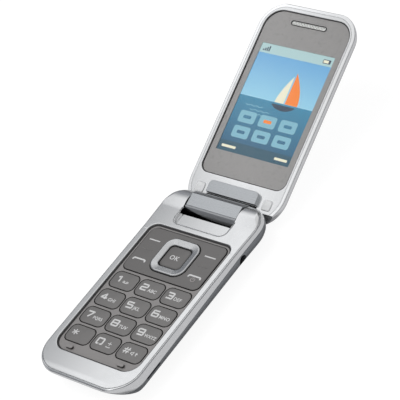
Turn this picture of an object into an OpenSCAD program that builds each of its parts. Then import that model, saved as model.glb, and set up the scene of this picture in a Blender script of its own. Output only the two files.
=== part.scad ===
// Clamshell phone, opened to the angle at which it is held: base, lid and the hinge between them.
// Origin: centre of the flat back of the base. +Y runs towards the hinge, +X to the right, +Z up
// through the keys. The lid is drawn in its own frame, whose origin lies on the hinge axis, and is
// then tilted into place.

/* [Base] */
// Length of the base from its front end to the back of the hinge shoulders
base_len = 99.8; // [98:0.2:104]
// Width of the base
base_w = 48.6; // [48:0.2:53]
// Height of the deck round the keypad above the back
deck_z = 9.65; // [9.5:0.05:10.6]
// Corner radius of the front end, seen from above
front_r = 12; // [9:0.5:13]
// Corner radius of the hinge shoulders, seen from above
shoulder_r = 8; // [6:0.5:9]
// How far the deck's edge rounding reaches in from the side
deck_edge = 0.9; // [0.6:0.1:1.1]
// How far the rounding of the back reaches in from the side
back_edge = 7.2; // [5.5:0.1:8]
// Length of the raked underside of the front end
chin_run = 9; // [7:0.5:10]
// Length of the rounding on top of the front end
nose_run = 2.4; // [1.8:0.1:3]
// Drop from the deck to the foremost point of the front end
nose_drop = 1.75; // [1.4:0.05:2.2]
// Width of the side band, seen from above
band_w = 0.9; // [0.8:0.05:1.1]
// Height of the joint between side band and back shell at the front end
parting_front = 5.4; // [5.1:0.1:5.9]
// Height of the joint between side band and back shell at the hinge end
parting_back = 7.6; // [7.2:0.1:8]
// Wall of the front cover's top
deck_t = 1.1; // [0.9:0.05:1.2]
// Wall of the back shell
shell_t = 1.4; // [1.3:0.05:1.5]

/* [Hinge] */
// Radius of the hinge shoulders; their centre is the hinge axis, and they touch the back's plane
hinge_r = 5.9; // [5.7:0.05:6.1]
// Angle between base and lid when open
open_deg = 157.13; // [140:1:165]
// Width of the notch between the shoulders
notch_w = 26.4; // [25:0.2:27]
// Distance from the hinge axis to the front wall of the notch
notch_reach = 7.3; // [7:0.1:7.6]
// Gap between barrel and shoulder at each side
side_gap = 0.3; // [0.25:0.05:0.4]
// Gap between shoulders and the lid's hollow round them
hollow_gap = 0.95; // [0.8:0.05:1.05]
// Distance of the barrel's flat from the hinge axis
flat_reach = 4.93; // [4.7:0.05:5.2]
// Direction of the barrel's flat, in the lid's frame
flat_dir = 81.9; // [76:0.5:88]
// Radius of the hinge shaft
shaft_r = 1.5; // [1.3:0.05:1.6]
// Outer radius of the spring cartridge
cartridge_r = 3; // [2.9:0.05:3.2]
// Outer radius of the hollow bush
bush_r = 2.6; // [2.4:0.05:2.8]
// Radial clearance of the running fits on the hinge axis
run_fit = 0.05; // [0.02:0.01:0.09]

/* [Keypad] */
// Width of the deck beside the keypad, from the side band's seam to the opening
strip_w = 2.4; // [2:0.1:3]
// Length of one number key
key_l = 8; // [7.6:0.1:8.3]
// Corner radius of a number key
key_r = 2.4; // [1.5:0.1:3]
// Width of the web between two columns of keys
web_x = 1.1; // [1:0.05:1.3]
// Width of the web between two rows of keys
web_y = 1.68; // [1.3:0.02:1.9]
// Margin from the keys to the side of the keypad opening
pad_side = 1.7; // [1.5:0.1:1.9]
// Strip below the last row of keys, which holds the stoppers
pad_front = 5.15; // [4.6:0.05:5.4]
// Margin above the function plate
pad_back = 1.6; // [1.3:0.1:1.8]
// Length of the function plate
plate_l = 22.9; // [22.5:0.1:23.3]
// Distance from the base's front end to the keypad opening
chin_l = 9.55; // [9:0.05:10]
// How far the keys' tops lie under the deck
key_drop = 0.3; // [0.2:0.05:0.4]
// How far the web lies under the deck
web_drop = 0.9; // [0.8:0.05:1]
// Travel of a key
key_travel = 0.25; // [0.2:0.05:0.3]
// Gap round each key
key_gap = 0.25; // [0.2:0.01:0.3]
// Width of the navigation ring
ring_w = 17.1; // [16.5:0.1:17.5]
// Width of its opening
ring_in = 11.2; // [10.8:0.1:11.6]

/* [Lid] */
// Width of the lid
lid_w = 47.6; // [47:0.2:50]
// Thickness of the lid
lid_t = 6.8; // [6.5:0.1:7.2]
// Gap between deck and lid when closed
lid_gap = 0.5; // [0.45:0.05:0.8]
// How much shorter the lid is than the base at the front end
lid_short = 0.2; // [0:0.1:0.8]
// How far the lid reaches past the hinge axis
heel_reach = 1; // [0.6:0.1:1.4]
// Corner radius of the far end
lid_far_r = 12.5; // [10:0.5:14]
// Corner radius of the hinge end
lid_heel_r = 7; // [5:0.5:8]
// Width of the lid's side band, seen from the inner face
lid_band_w = 1.6; // [1.3:0.1:1.7]
// Depth of the lid's side band
lid_band_t = 1.85; // [1.6:0.05:2]
// Thickness of the inner cover
inner_t = 1.6; // [1.5:0.05:1.7]
// Wall of the outer cover
outer_t = 1; // [0.9:0.05:1.2]

/* [Display] */
// Distance from the lid's side to the picture area
lcd_side = 5.5; // [5.2:0.1:6]
// Length of the picture area
lcd_l = 48.8; // [47:0.1:49.4]
// Distance from the lid's side to its window
window_side = 2.4; // [2.2:0.1:2.8]
// Share of the window's free length that lies between picture and hinge
picture_place = 0.412; // [0.39:0.002:0.43]
// Distance from the window to the lid's far end
window_end = 3.2; // [2.8:0.1:3.6]
// Distance from the earpiece slot to the window's far end
ear_end = 4.45; // [4:0.05:5]
// Distance from the hinge axis to the window
window_v = 15.75; // [15.5:0.05:16.4]
// How far the window lies under the inner cover's face
window_drop = 0.45; // [0.3:0.05:0.6]
// Thickness of the window
window_t = 0.7; // [0.6:0.05:0.8]
// Length of the earpiece slot
ear_l = 17.4; // [14:0.1:18]
// Width of the earpiece slot
ear_w = 1.7; // [1.5:0.1:2]
// Height of the neck plate on the inner cover
neck_h = 1.7; // [1.4:0.05:1.8]
// Radius of the camera's trim ring
camera_r = 4.6; // [4:0.1:5]

/* [Parts inside] */
// Distance from the base's side to the battery
battery_side = 8.3; // [8.2:0.1:10]
// Length of the battery
battery_l = 43; // [40:0.5:44]
// Thickness of the battery
battery_t = 3.8; // [3.4:0.05:3.9]
// Thickness of the battery cover
cover_t = 0.85; // [0.8:0.05:0.9]
// Thickness of the main board
board_t = 0.8; // [0.6:0.1:0.8]
// Bore radius of the headset socket
jack_r = 1.8; // [1.75:0.01:1.85]
// Width of the charging socket's mouth
usb_w = 7; // [6.8:0.1:7.4]

/* [Hidden] */

$fn = 48;
far = 200;              // longer than the object, for cuts that run right through it
seam = 0.1;             // gap between two fixed covers
fit = 0.1;              // gap round a piece in its seat

// Places along the base
front_y = -base_len / 2;
back_y = base_len / 2;
hinge_y = back_y - hinge_r;
hinge_z = hinge_r;
rise_run = 6.6;                              // length of the rise from the deck to the shoulders
rise_y = hinge_y - rise_run;
notch_y = hinge_y - notch_reach;
end_wall = 1.5;                              // wall between the base's chamber and the notch
chamber_y = notch_y - end_wall;
nose_z = deck_z - nose_drop;
mid_share = 0.62;                            // height of the widest line, as a share of the section
skirt_in = band_w + seam;                    // the front cover's outline, in from the widest line
seat_in = skirt_in + deck_t;                 // the same cover's inner wall

// Keypad opening and what lies in it
pad_w = base_w - 2 * skirt_in - 2 * strip_w;
key_w = round(10 * (pad_w - 2 * pad_side - 2 * web_x) / 3) / 10;    // to a tenth
pad_rim = 0.6;                               // the keypad frame's flange under the deck
pad_l = pad_front + 4 * key_l + 4 * web_y + plate_l + pad_back;
pad_y = front_y + chin_l;
pad_far_r = 4;
pad_near_r = 6;
key_y = pad_y + pad_front + key_l / 2;       // centre line of the last row of keys
pitch_x = key_w + web_x;
pitch_y = key_l + web_y;
plate_y = pad_y + pad_front + 4 * pitch_y;   // near edge of the function plate
plate_w = pad_w - 2 * pad_back;
plate_r = 2.8;
ring_y = plate_y + plate_l / 2 + 0.25;
ring_l = ring_w + 0.4;
ring_r = 4.6;
ring_in_r = 2;
ring_rise = 0.55;                            // how far the ring's crown stands above the keys
key_top = deck_z - key_drop;
web_z = deck_z - web_drop;
web_t = 0.8;
web_bottom = web_z - web_t;
flange_w = 0.35;                             // a key's flange, out from its sides
flange_t = 0.4;
flange_gap = 0.3;                            // free height over the flange
flange_top = web_bottom - flange_gap;
flange_bottom = flange_top - flange_t;
press_gap = 0.15;                            // what stays free under a pressed key
mat_top = flange_bottom - key_travel - press_gap;
mat_t = 0.3;
nub_h = 0.35;
mat_z = mat_top - nub_h - mat_t;
dome_t = 0.12;
board_top = mat_z - dome_t;
board_z = board_top - board_t;
stopper_w = 3.6;
stopper_l = 1.6;
stopper_x = 13.1;
ring_bottom = flange_bottom + 0.6;
actuator_top = ring_bottom - 0.35;           // the ring rocks on it by this gap
actuator_z = mat_top - nub_h / 2 + 0.3;
soft_x = plate_w / 2 - 5.05;                 // centre of the soft and call keys' halves
dome_r = 2.1;
nub_r = 1.6;
plate_domes = [[-soft_x, 6.3], [-soft_x, 16.8], [soft_x, 6.3], [soft_x, 16.8], [0, 11.7]];

// Battery bay, from the back upwards: cover, battery, ceiling of the bay
bay_gap = 0.15;
battery_w = base_w - 2 * battery_side;
bay_w = battery_w + 2 * bay_gap;
bay_near = front_y + 14.5;
bay_far = bay_near + battery_l + 2.6;
bay_top = cover_t + battery_t + bay_gap;
cover_near = bay_near - 4;
cover_far = bay_far + 18;
cover_side_z = 1.6;

// Sockets and small pieces
jack_y = chamber_y - 8.6;
jack_z = 4.6;
jack_wall = 0.4;
jack_body_r = jack_r + jack_wall;
jack_l = 12;
jack_nose = 3;                               // its round front part
jack_foot = 4.8;                             // the foot under its back end
jack_right = base_w / 2 - 2.1;
jack_left = jack_right - jack_l;
mat_far = jack_y - jack_body_r - 0.6;        // key mat and domes end before the socket
usb_y = chamber_y - 8.2;
usb_h = 1.9;
usb_wall = 0.4;
usb_z = board_z - usb_h / 2 - usb_wall;           // the socket hangs under the main board
usb_l = 5.4;
usb_in = 1.6;                                // how deep the socket lies in its mouth
usb_gap = 0.2;
usb_tongue = 0.6;
volume_y = 8;
volume_l = 12;
volume_h = 1.6;
volume_z = 7.75;
volume_out = 0.35;
volume_in = pad_w / 2 + pad_rim + 0.3;
key_slot = 0.2;                              // gap round the volume key
screw_head_r = 1.3;
screw_head_t = 0.8;
screw_r = 0.7;
screw_l = 5.6;
screw_z = 2.4;                               // height of the heads' outer faces
post_r = 1.9;
screw_x = base_w / 2 - 6.9;
screw_places = [[-screw_x + 3.4, front_y + 6.2], [screw_x - 3.4, front_y + 6.2],
                [-screw_x, chamber_y - 2.4], [screw_x, chamber_y - 2.4]];
nail_y = front_y + 16.7;
nail_l = 8.4;
nail_t = 0.8;
speaker_w = 12;
speaker_l = 6.4;
speaker_t = 2.6;
speaker_x = 0;
speaker_y = chamber_y - speaker_l / 2 - 0.2;
slots = 5;                                   // sound slots of the loudspeaker
slot_pitch = 1.8;
slot_w = 0.8;
slot_l = 4.6;
motor_r = 1.8;
motor_l = 4.4;
motor_x = -(speaker_w / 2 + screw_x - post_r) / 2;
mic_x = 8;
mic_y = front_y + 8;
mic_r = 1.9;
mic_t = 1.4;
mic_hole = 0.5;
antenna_w = screw_x + 4.6;
antenna_l = 3;
antenna_t = 2.4;
sim_w = battery_w - 6;
sim_l = 15.4;
sim_t = 1.3;
can_w = 6.4;
can_l = 10.6;
can_t = 1.6;

// The lid's frame: y runs from the hinge axis along the lid, z out of its inner face
face_n = -(deck_z + lid_gap - hinge_z);
tip_v = hinge_y - front_y - lid_short;
rim_drop = 1;                                // from the inner face to the lid's widest line
lid_edge = 9;                                // how far the outer cover's rounding reaches in
hollow_r = hinge_r + hollow_gap;
lid_n = face_n - lid_t;
nose_n = face_n - rim_drop;
far_run = 10;                                // runs of the roundings at the far end, the heel and the rim
heel_run = 7;
rim_run = 0.7;
inner_in = lid_band_w + seam;
inner_n = face_n - inner_t;
window_w = lid_w - 2 * window_side;
window_l = tip_v - window_end - window_v;
lcd_w = lid_w - 2 * lcd_side;
lcd_rim = 1.7;                               // the display module's rim round the picture
lcd_foot = 4;                                // its longer rim towards the hinge
window_far_r = 8;
window_near_r = 4;
window_n = face_n - window_drop;
lcd_v = window_v + picture_place * (window_l - lcd_l) + lcd_l / 2;
lcd_t = 2;
lcd_n = inner_n;
lid_board_n = lcd_n - lcd_t;
lid_board_t = 0.6;
ledge_w = 1;                                 // ledge of the inner cover, which carries the window
ear_v = window_v + window_l - ear_end;
barrel_w = notch_w - 2 * side_gap;
neck_w = 25.2;
neck_near = notch_reach + 0.2;
neck_far = 12.9;
scoop_far = neck_far + 0.5;                  // the base's scoop, which takes the neck plate
scoop_depth = neck_h - lid_gap + 0.35;
bumper_w = 4.4;
bumper_x = (barrel_w + lid_w) / 4 - 1.15;
bumper_v = 8.9;
bumper_h = 0.35;
trim_t = 0.5;
trim_w = 5.3;
trim_shift = 0.65;
bumper_seat = 0.4;                           // depth of the bumpers' seats
lid_screw_head = 0.6;
lid_screw_l = 4;
tongue = 1.5;                                // how far the neck reaches in between the lid's covers
earpiece_w = 0.7 * ear_l;
earpiece_l = 3.5 * ear_w;
earpiece_t = 2.4;
mesh_holes = 11;
mesh_hole_r = 0.22;
magnet_x = 8.4 - window_w / 2;
magnet_w = 5;
magnet_l = 3;
magnet_t = 1.8;
camera_v = 16;
camera_w = 6.4;
camera_n = lid_n + 1.25;                     // where the camera module begins, over its window
camera_rim = 1.1;
camera_out = 0.25;                           // how far the ring stands out of the outer cover
camera_floor = 0.5;
lens_r = 1.4;
pupil_r = 2.3;

// Hinge pieces along the axis, from the left shoulder to the right one
shaft_left = 6.8 - base_w / 2;
cartridge_left = -barrel_w / 2;
cartridge_right = cartridge_left + 0.56 * barrel_w;
shaft_right = cartridge_right - 2.8;
cartridge_wall = 0.5;
cam_r = cartridge_r - cartridge_wall - run_fit;
cam_l = 2;
cam_x = cartridge_left + 0.9;
ridge_r = 0.7;                               // the cam's ridge, which the follower's groove takes
ridge_turn = 30;
follower_x = cam_x + cam_l + ridge_r + 0.3;
spring_left = follower_x + cam_l;
spring_right = cartridge_right - 0.8;
spring_wire = 0.4;
spring_turns = 6;
bush_left = notch_w / 2 - 3;
bush_right = base_w / 2 - 5.9;
bush_wall = 0.6;
flex_r = bush_r - bush_wall - 0.3;
flex_w = bush_left - cartridge_right - 2.6;     // width of the flex cable's flat tail
flex_t = 0.2;
flex_tail = notch_reach + 5.5;
flex_slot = 0.3;                             // gap round the tail
flex_x = bush_left - flex_w - flex_slot - 0.2;
flex_way_w = 2.4;
flex_way_h = 4;
flex_n = -6.9;                               // where the cable's tail lies, in the lid's frame

// ---- Shapes that several pieces share ----

// Rounded rectangle round the origin
module rounded(w, l, r) {
    square([w - 2 * r, l], center = true);
    square([w, l - 2 * r], center = true);
    for (x = [-1, 1], y = [-1, 1])
        translate([x * (w / 2 - r), y * (l / 2 - r)]) circle(r);
}

// Rounded rectangle from y = 0 to l, with its own radius at the near and at the far end
module opening(w, l, r_near, r_far) {
    opening_end(w, l, r_near);
    translate([0, l]) mirror([0, 1]) opening_end(w, l, r_far);
}
module opening_end(w, l, r) {
    for (x = [-1, 1]) translate([x * (w / 2 - r), r]) circle(r);
    translate([r - w / 2, 0]) square([w - 2 * r, r]);
    translate([-w / 2, r]) square([w, l / 2 - r]);
}

module bar(w, l, h, r = 0.5) {
    linear_extrude(h) rounded(w, l, r);
}

// Cylinder along X
module along_x(r, x0, x1) {
    translate([x0, 0, 0]) rotate([0, 90, 0]) cylinder(r = r, h = x1 - x0);
}

// A quarter of a superellipse: rises from 0 at s = 0 to 1 at s = 1
function quarter(s, q) = s >= 1 ? 1 : s <= 0 ? 0 : pow(1 - pow(1 - s, q), 1 / q);

// How far a corner of radius r narrows an outline at depth d into that corner
function corner(d, r) = d <= 0 ? 0 : r - sqrt(max(0, r * r - d * d));

// One cross-section: widest at half width w, rounded towards its top and towards its bottom
TOP_STEPS = 3;
SIDE_STEPS = 6;
function side_points(w, z_top, z_bot, share, top_edge, bot_edge) =
    let (z_mid = z_bot + (z_top - z_bot) * share,
         reach = min(bot_edge, 0.9 * w))
    concat([for (k = [TOP_STEPS:-1:0]) let (t = 90 * k / TOP_STEPS)
                [w - top_edge * (1 - cos(t)), z_mid + (z_top - z_mid) * sin(t)]],
           [for (k = [1:SIDE_STEPS]) let (t = 90 * k / SIDE_STEPS)
                [w - reach * (1 - cos(t)), z_mid - (z_mid - z_bot) * sin(t)]]);
function section(y, half) = concat([for (p = half) [p[0], y, p[1]]],
    [for (k = [len(half) - 1:-1:0]) [-half[k][0], y, half[k][1]]]);

// Skin over a row of cross-sections with equal numbers of points
module loft(sections) {
    n = len(sections[0]);
    m = len(sections);
    sides = [for (j = [0:m - 2], k = [0:n - 1]) let (a = j * n + k, b = j * n + (k + 1) % n)
        each [[a, a + n, b + n], [a, b + n, b]]];
    polyhedron(points = [for (s = sections, p = s) p],
        faces = concat([[for (k = [0:n - 1]) k]], sides, [[for (k = [n - 1:-1:0]) (m - 1) * n + k]]));
}

// ---- The base's outer form, and the same form drawn in by "in" on all sides ----

FRONT_STEPS = 9;
RISE_STEPS = 5;
HINGE_STEPS = 7;
function base_half(y, in) = base_w / 2 - in - corner(front_y + front_r - y, front_r - in)
    - corner(y - back_y + shoulder_r, shoulder_r - in);
function round_z(y, in) = sqrt(max(0, pow(hinge_r - in, 2) - pow(y - hinge_y, 2)));
function base_top(y, in) = y > hinge_y ? hinge_z + round_z(y, in)
    : y > rise_y ? deck_z - in + (2 * hinge_r - deck_z) * (1 - cos(180 * (y - rise_y) / rise_run)) / 2
    : nose_z + (deck_z - in - nose_z) * quarter((y - front_y - in) / nose_run, 2);
function base_bot(y, in) = y > hinge_y ? hinge_z - round_z(y, in)
    : nose_z + (in - nose_z) * quarter((y - front_y - in) / chin_run, 1.25);
function base_stations(in) = concat(
    [for (k = [0:FRONT_STEPS]) let (t = 4 + 86 * k / FRONT_STEPS)
        front_y + in + (front_r - in) * (1 - cos(t))],
    [for (k = [0:RISE_STEPS - 1]) rise_y + rise_run * k / RISE_STEPS],
    [for (k = [0:HINGE_STEPS]) hinge_y + (hinge_r - in) * sin(86 * k / HINGE_STEPS)]);
module base_form(in = 0) {
    loft([for (y = base_stations(in))
        section(y, side_points(base_half(y, in), base_top(y, in), base_bot(y, in),
            mid_share, deck_edge, back_edge))]);
}

// Upright prism on the base's outline, drawn in by "in"
module base_outline(in) {
    ys = concat([for (k = [0:16]) let (t = 90 * k / 16)
            front_y + in + (front_r - in) * (1 - cos(t))],
        [for (k = [0:12]) let (t = 90 * k / 12)
            back_y - in - (shoulder_r - in) * (1 - sin(t))]);
    right = [for (y = ys) [base_half(y, in), y]];
    left = [for (k = [len(ys) - 1:-1:0]) [-base_half(ys[k], in), ys[k]]];
    linear_extrude(far) polygon(concat(right, left));
}

// Everything over or under the sloping joint between side band and back shell
function parting(y) = parting_front + (parting_back - parting_front) * (y - front_y) / base_len;
module over_parting() {
    rotate([90, 0, 90]) linear_extrude(far, center = true)
        polygon([[-far, parting(-far)], [far, parting(far)], [far, far], [-far, far]]);
}
module under_parting() {
    rotate([90, 0, 90]) linear_extrude(far, center = true)
        polygon([[-far, parting(-far)], [far, parting(far)], [far, -far], [-far, -far]]);
}

// Box across the whole width, between two places along the base and two heights
module slab(y0, y1, z0, z1, w = far) {
    translate([-w / 2, y0, z0]) cube([w, y1 - y0, z1 - z0]);
}

// The notch between the shoulders
module notch() {
    slab(notch_y, far, -far / 2, far / 2, notch_w);
}

// Holes for the shaft in the left shoulder and for the bush in the right one
module hinge_seats() {
    translate([0, hinge_y, hinge_z]) {
        along_x(shaft_r, shaft_left, 0);
        along_x(bush_r, 0, bush_right);
    }
}

// Way of the flex cable from the end of the bush into the base
module flex_way() {
    translate([bush_right - 0.1, chamber_y - 0.4, hinge_z - flex_way_h / 2])
        cube([flex_way_w, hinge_y - chamber_y + flex_way_h / 2, flex_way_h]);
}

// Mouths of the sockets and the slot of the volume key, through the side walls
module side_mouths() {
    translate([0, jack_y, jack_z]) along_x(jack_r + 0.25, jack_right - 1, far / 2);
    translate([-far / 2, usb_y, usb_z]) rotate([0, 90, 0])
        linear_extrude(far / 2 - base_w / 2 + 5)
            rounded(usb_h + 2 * (usb_wall + usb_gap), usb_w + 2 * (usb_wall + usb_gap), 1.2);
    translate([-far / 2, volume_y, volume_z]) rotate([0, 90, 0])
        linear_extrude(far / 2 - volume_in + key_slot)
            rounded(volume_h + 2 * key_slot, volume_l + 2 * key_slot, 0.6 + key_slot);
}

// ---- Base ----

// The zone of the battery cover: the back and the sides up to one height
module cover_zone(gap = 0) {
    slab(cover_near - gap, cover_far + gap, -1, cover_side_z + gap);
}

module back_shell() {
    color("#8d9093") difference() {
        union() {
            difference() {
                intersection() {
                    base_form();
                    under_parting();
                }
                cover_zone(seam);
            }
            intersection() {
                base_form(cover_t);
                cover_zone(2 * seam);
            }
        }
        notch();
        hinge_seats();
        flex_way();
        side_mouths();
        // chambers in front of, over and behind the battery bay, leaving the screw posts
        difference() {
            intersection() {
                base_form(shell_t);
                union() {
                    slab(front_y, bay_near - shell_t, shell_t, far);
                    slab(bay_near - 2 * shell_t, bay_far + 2 * shell_t, board_z, far);
                    slab(bay_far + shell_t, chamber_y, shell_t, far);
                }
            }
            for (p = screw_places) translate([p[0], p[1], 0]) cylinder(r = post_r, h = board_z);
        }
        // battery bay, open to the back
        translate([0, (bay_near + bay_far) / 2, -1])
            bar(bay_w, bay_far - bay_near, bay_top + 1, 1);
        for (p = screw_places) translate([p[0], p[1], -1]) {
            cylinder(r = screw_r + 0.1, h = far);
            cylinder(r = screw_head_r + 0.15, h = 1 + screw_z + screw_head_t);
        }
        // sound slots of the loudspeaker
        for (k = [0:slots - 1])
            translate([speaker_x + (k - (slots - 1) / 2) * slot_pitch, speaker_y, -1])
                bar(slot_w, slot_l, shell_t + 2, slot_w / 2 - 0.01);
        // seat of the headset socket's nose
        translate([0, jack_y, jack_z]) along_x(jack_body_r + fit, jack_left, jack_right);
        // hole of the microphone
        translate([mic_x, mic_y, -1]) cylinder(r = mic_hole, h = board_z);
        // slot for a finger nail, under the joint on the right side
        translate([base_w / 2, nail_y, parting(nail_y) - nail_t - seam])
            linear_extrude(nail_t) rounded(1.8, nail_l, 0.6);
    }
}

module battery_cover() {
    color("#8d9093") difference() {
        intersection() {
            base_form();
            cover_zone();
        }
        base_form(cover_t);
        // hollow of the finger grip, a shallow groove across the back
        for (k = [-1, 1]) translate([0, cover_near + 4 + k * 0.9, -6]) rotate([0, 90, 0])
            cylinder(r = 6.12, h = 14, center = true, $fn = 90);
    }
}

module battery() {
    color("#2f3236") translate([0, bay_near + bay_gap + battery_l / 2, cover_t])
        bar(battery_w, battery_l, battery_t, 1);
}

module battery_contacts() {
    end = bay_near + bay_gap + battery_l;
    block_l = 1.4;
    h = bay_top - cover_t - 0.5;
    color("#c9a24b") translate([0, 0, cover_t + 0.5]) {
        translate([0, bay_far - block_l / 2, 0]) bar(11, block_l, h, 0.3);
        for (k = [-1.5:1.5]) translate([k * 2.6 - 0.5, end, 1]) cube([1, bay_far - block_l / 2 - end, 1.2]);
    }
}

module sim_holder() {
    color("#a9acaf") translate([jack_left - 1 - sim_w / 2, bay_far + 1.6 + sim_l / 2, board_z - sim_t])
        difference() {
            bar(sim_w, sim_l, sim_t, 0.8);
            translate([0, 0, -0.4]) bar(sim_w - 1.2, sim_l - 1.2, sim_t);
        }
}

module main_board() {
    near = front_y + 4.6;
    far_edge = chamber_y - 0.8;
    color("#2f6b4a") difference() {
        translate([0, near, board_z]) linear_extrude(board_t) opening(base_w - 9.4, far_edge - near, 9, 2);
        for (p = screw_places) translate([p[0], p[1], 0]) cylinder(r = post_r + 0.3, h = far);
        translate([jack_left - 0.4, jack_y - jack_body_r - 0.6, 0])
            cube([far, 2 * (jack_body_r + 0.6), far]);
    }
}

module shield_can() {
    wall = 0.25;
    color("#b9bcc0") translate([jack_left + 4, bay_far + 7.2, board_z - can_t]) difference() {
        bar(can_w, can_l, can_t, 0.5);
        translate([0, 0, wall]) bar(can_w - 2 * wall, can_l - 2 * wall, can_t, 0.3);
    }
}

function key_place(k) = [(k % 3 - 1) * pitch_x, key_y + (3 - floor(k / 3)) * pitch_y];

module dome_sheet() {
    color("#d9c98a") translate([0, 0, board_top]) {
        translate([0, pad_y + 1.5, 0]) linear_extrude(0.05) opening(pad_w - 4, mat_far - pad_y - 2, 5, 3);
        for (k = [0:11]) translate([key_place(k)[0], key_place(k)[1], 0]) cylinder(r = dome_r, h = dome_t);
        for (p = plate_domes) translate([p[0], plate_y + p[1], 0]) cylinder(r = dome_r, h = dome_t);
    }
}

module key_mat() {
    color("#c9ccce") translate([0, 0, mat_z]) {
        translate([0, pad_y + 1, 0]) linear_extrude(mat_t) opening(pad_w - 3, mat_far - pad_y - 1, 5, 3);
        for (k = [0:11]) translate([key_place(k)[0], key_place(k)[1], 0]) cylinder(r = nub_r, h = mat_t + nub_h);
        for (p = plate_domes) translate([p[0], plate_y + p[1], 0]) cylinder(r = nub_r, h = mat_t + nub_h / 2);
    }
}

module keypad_frame() {
    color("#8b8886") difference() {
        union() {
            translate([0, pad_y + fit, web_bottom]) linear_extrude(web_t)
                opening(pad_w - 2 * fit, pad_l - 2 * fit, pad_near_r - fit, pad_far_r - fit);
            translate([0, pad_y - pad_rim, web_bottom]) linear_extrude(deck_z - deck_t - web_bottom)
                opening(pad_w + 2 * pad_rim, pad_l + 2 * pad_rim, pad_near_r + pad_rim, pad_far_r + pad_rim);
        }
        for (k = [0:11]) translate([key_place(k)[0], key_place(k)[1], 0])
            linear_extrude(far) rounded(key_w + 2 * key_gap, key_l + 2 * key_gap, key_r + key_gap);
        translate([0, plate_y + plate_l / 2, 0])
            linear_extrude(far) rounded(plate_w + 2 * key_gap, plate_l + 2 * key_gap, plate_r + key_gap);
    }
}

module keypad_stoppers() {
    color("#6b6866") for (x = [-1, 1]) translate([x * stopper_x, pad_y + 2.35, web_z])
        bar(stopper_w, stopper_l, web_drop + 0.1, stopper_l / 2 - 0.01);
}

module front_cover() {
    color("#cfd1d3") difference() {
        intersection() {
            base_form();
            base_outline(skirt_in);
            over_parting();
        }
        translate([0, pad_y, 0]) linear_extrude(far) opening(pad_w, pad_l, pad_near_r, pad_far_r);
        // hollow under the deck, with the screw bosses left in it
        difference() {
            intersection() {
                base_outline(seat_in);
                slab(front_y + nose_run + 1, chamber_y, 0, deck_z - deck_t);
            }
            for (p = screw_places) translate([p[0], p[1], board_z]) cylinder(r = post_r, h = far);
            scoop_block(-0.9);
        }
        for (p = screw_places) translate([p[0], p[1], 0]) cylinder(r = screw_r, h = deck_z - deck_t);
        scoop_block(0);
        notch();
        hinge_seats();
        flex_way();
        side_mouths();
    }
}

// The scoop that takes the neck plate, or with a negative value the tray that forms its floor
module scoop_block(out) {
    w = neck_w + 0.9 - 2 * out;
    l = scoop_far - notch_reach - out;
    translate([0, hinge_y - scoop_far + out, deck_z - scoop_depth + out])
        linear_extrude(far) opening(w, l + 2, 3, 0.4);
}

module side_band() {
    color("#dadcde") difference() {
        intersection() {
            base_form();
            over_parting();
        }
        translate([0, 0, -1]) base_outline(band_w);
        notch();
        side_mouths();
    }
}

module audio_jack() {
    side = jack_body_r + jack_wall;
    color("#1c1d1f") translate([0, jack_y, jack_z]) difference() {
        union() {
            along_x(jack_body_r, jack_left, jack_right);
            translate([jack_left, -side, -side]) cube([jack_l - jack_nose, 2 * side, side + jack_body_r]);
            translate([jack_left, -side, shell_t - jack_z]) cube([jack_foot, 2 * side, jack_z - shell_t]);
        }
        along_x(jack_r, jack_left + 1, far);
    }
}

module usb_socket() {
    w = usb_w + 2 * usb_wall;
    h = usb_h + 2 * usb_wall;
    translate([usb_in - base_w / 2, usb_y, usb_z]) rotate([0, 90, 0]) {
        color("#9a9da0") difference() {
            linear_extrude(usb_l) rounded(h, w, 0.7);
            translate([0, 0, -1]) linear_extrude(usb_l) rounded(usb_h, usb_w, 0.5);
        }
        color("#1c1d1f") translate([0, 0, 0.8]) linear_extrude(usb_l - 1)
            rounded(usb_tongue, usb_w - 1.6, 0.2);
    }
}

module loudspeaker() {
    color("#26282b") translate([speaker_x, speaker_y, shell_t]) bar(speaker_w, speaker_l, speaker_t, 1);
}

module microphone() {
    color("#c9a24b") translate([mic_x, mic_y, board_z - mic_t]) cylinder(r = mic_r, h = mic_t);
}

// Motor lying on the shell's floor, with its half-round weight at the free end of the shaft
module vibration_motor() {
    weight_l = 2.1;
    gap = 0.3;
    color("#a9acaf") translate([motor_x, chamber_y, shell_t + motor_r]) rotate([90, 0, 0]) {
        cylinder(r = motor_r, h = motor_l);
        cylinder(r = 0.4, h = motor_l + gap + weight_l + 0.1);
        translate([0, 0, motor_l + gap]) intersection() {
            cylinder(r = motor_r - 0.1, h = weight_l);
            translate([-motor_r, -motor_r, 0]) cube([2 * motor_r, motor_r + 0.2, far]);
        }
    }
}

module antenna() {
    color("#d8b56a") translate([mic_x - 3.5 - antenna_w / 2, front_y + 10.4, board_z - antenna_t])
        bar(antenna_w, antenna_l, antenna_t);
}

module base_screws() {
    color("#3a3c3f") for (p = screw_places) translate([p[0], p[1], screw_z]) {
        difference() {
            cylinder(r = screw_head_r, h = screw_head_t);
            translate([0, 0, -0.1]) cylinder(r = 0.6, h = 0.5, $fn = 6);
        }
        translate([0, 0, 0.4]) cylinder(r = screw_r - 0.02, h = screw_l - 0.4);
    }
}

// ---- Keys ----

// A pillow-shaped key top on a flange, with its top at key_top
module key_body(w, l, r) {
    crown = 90;
    intersection() {
        translate([0, 0, flange_bottom]) linear_extrude(far) rounded(w, l, r);
        translate([0, 0, key_top - crown]) sphere(r = crown, $fn = 200);
    }
}

module number_key(k) {
    color("#7d7a79") translate([key_place(k)[0], key_place(k)[1], 0]) {
        key_body(key_w, key_l, key_r);
        translate([0, 0, flange_bottom])
            bar(key_w + 2 * flange_w, key_l + 2 * flange_w, flange_t, key_r + flange_w);
    }
}

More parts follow.
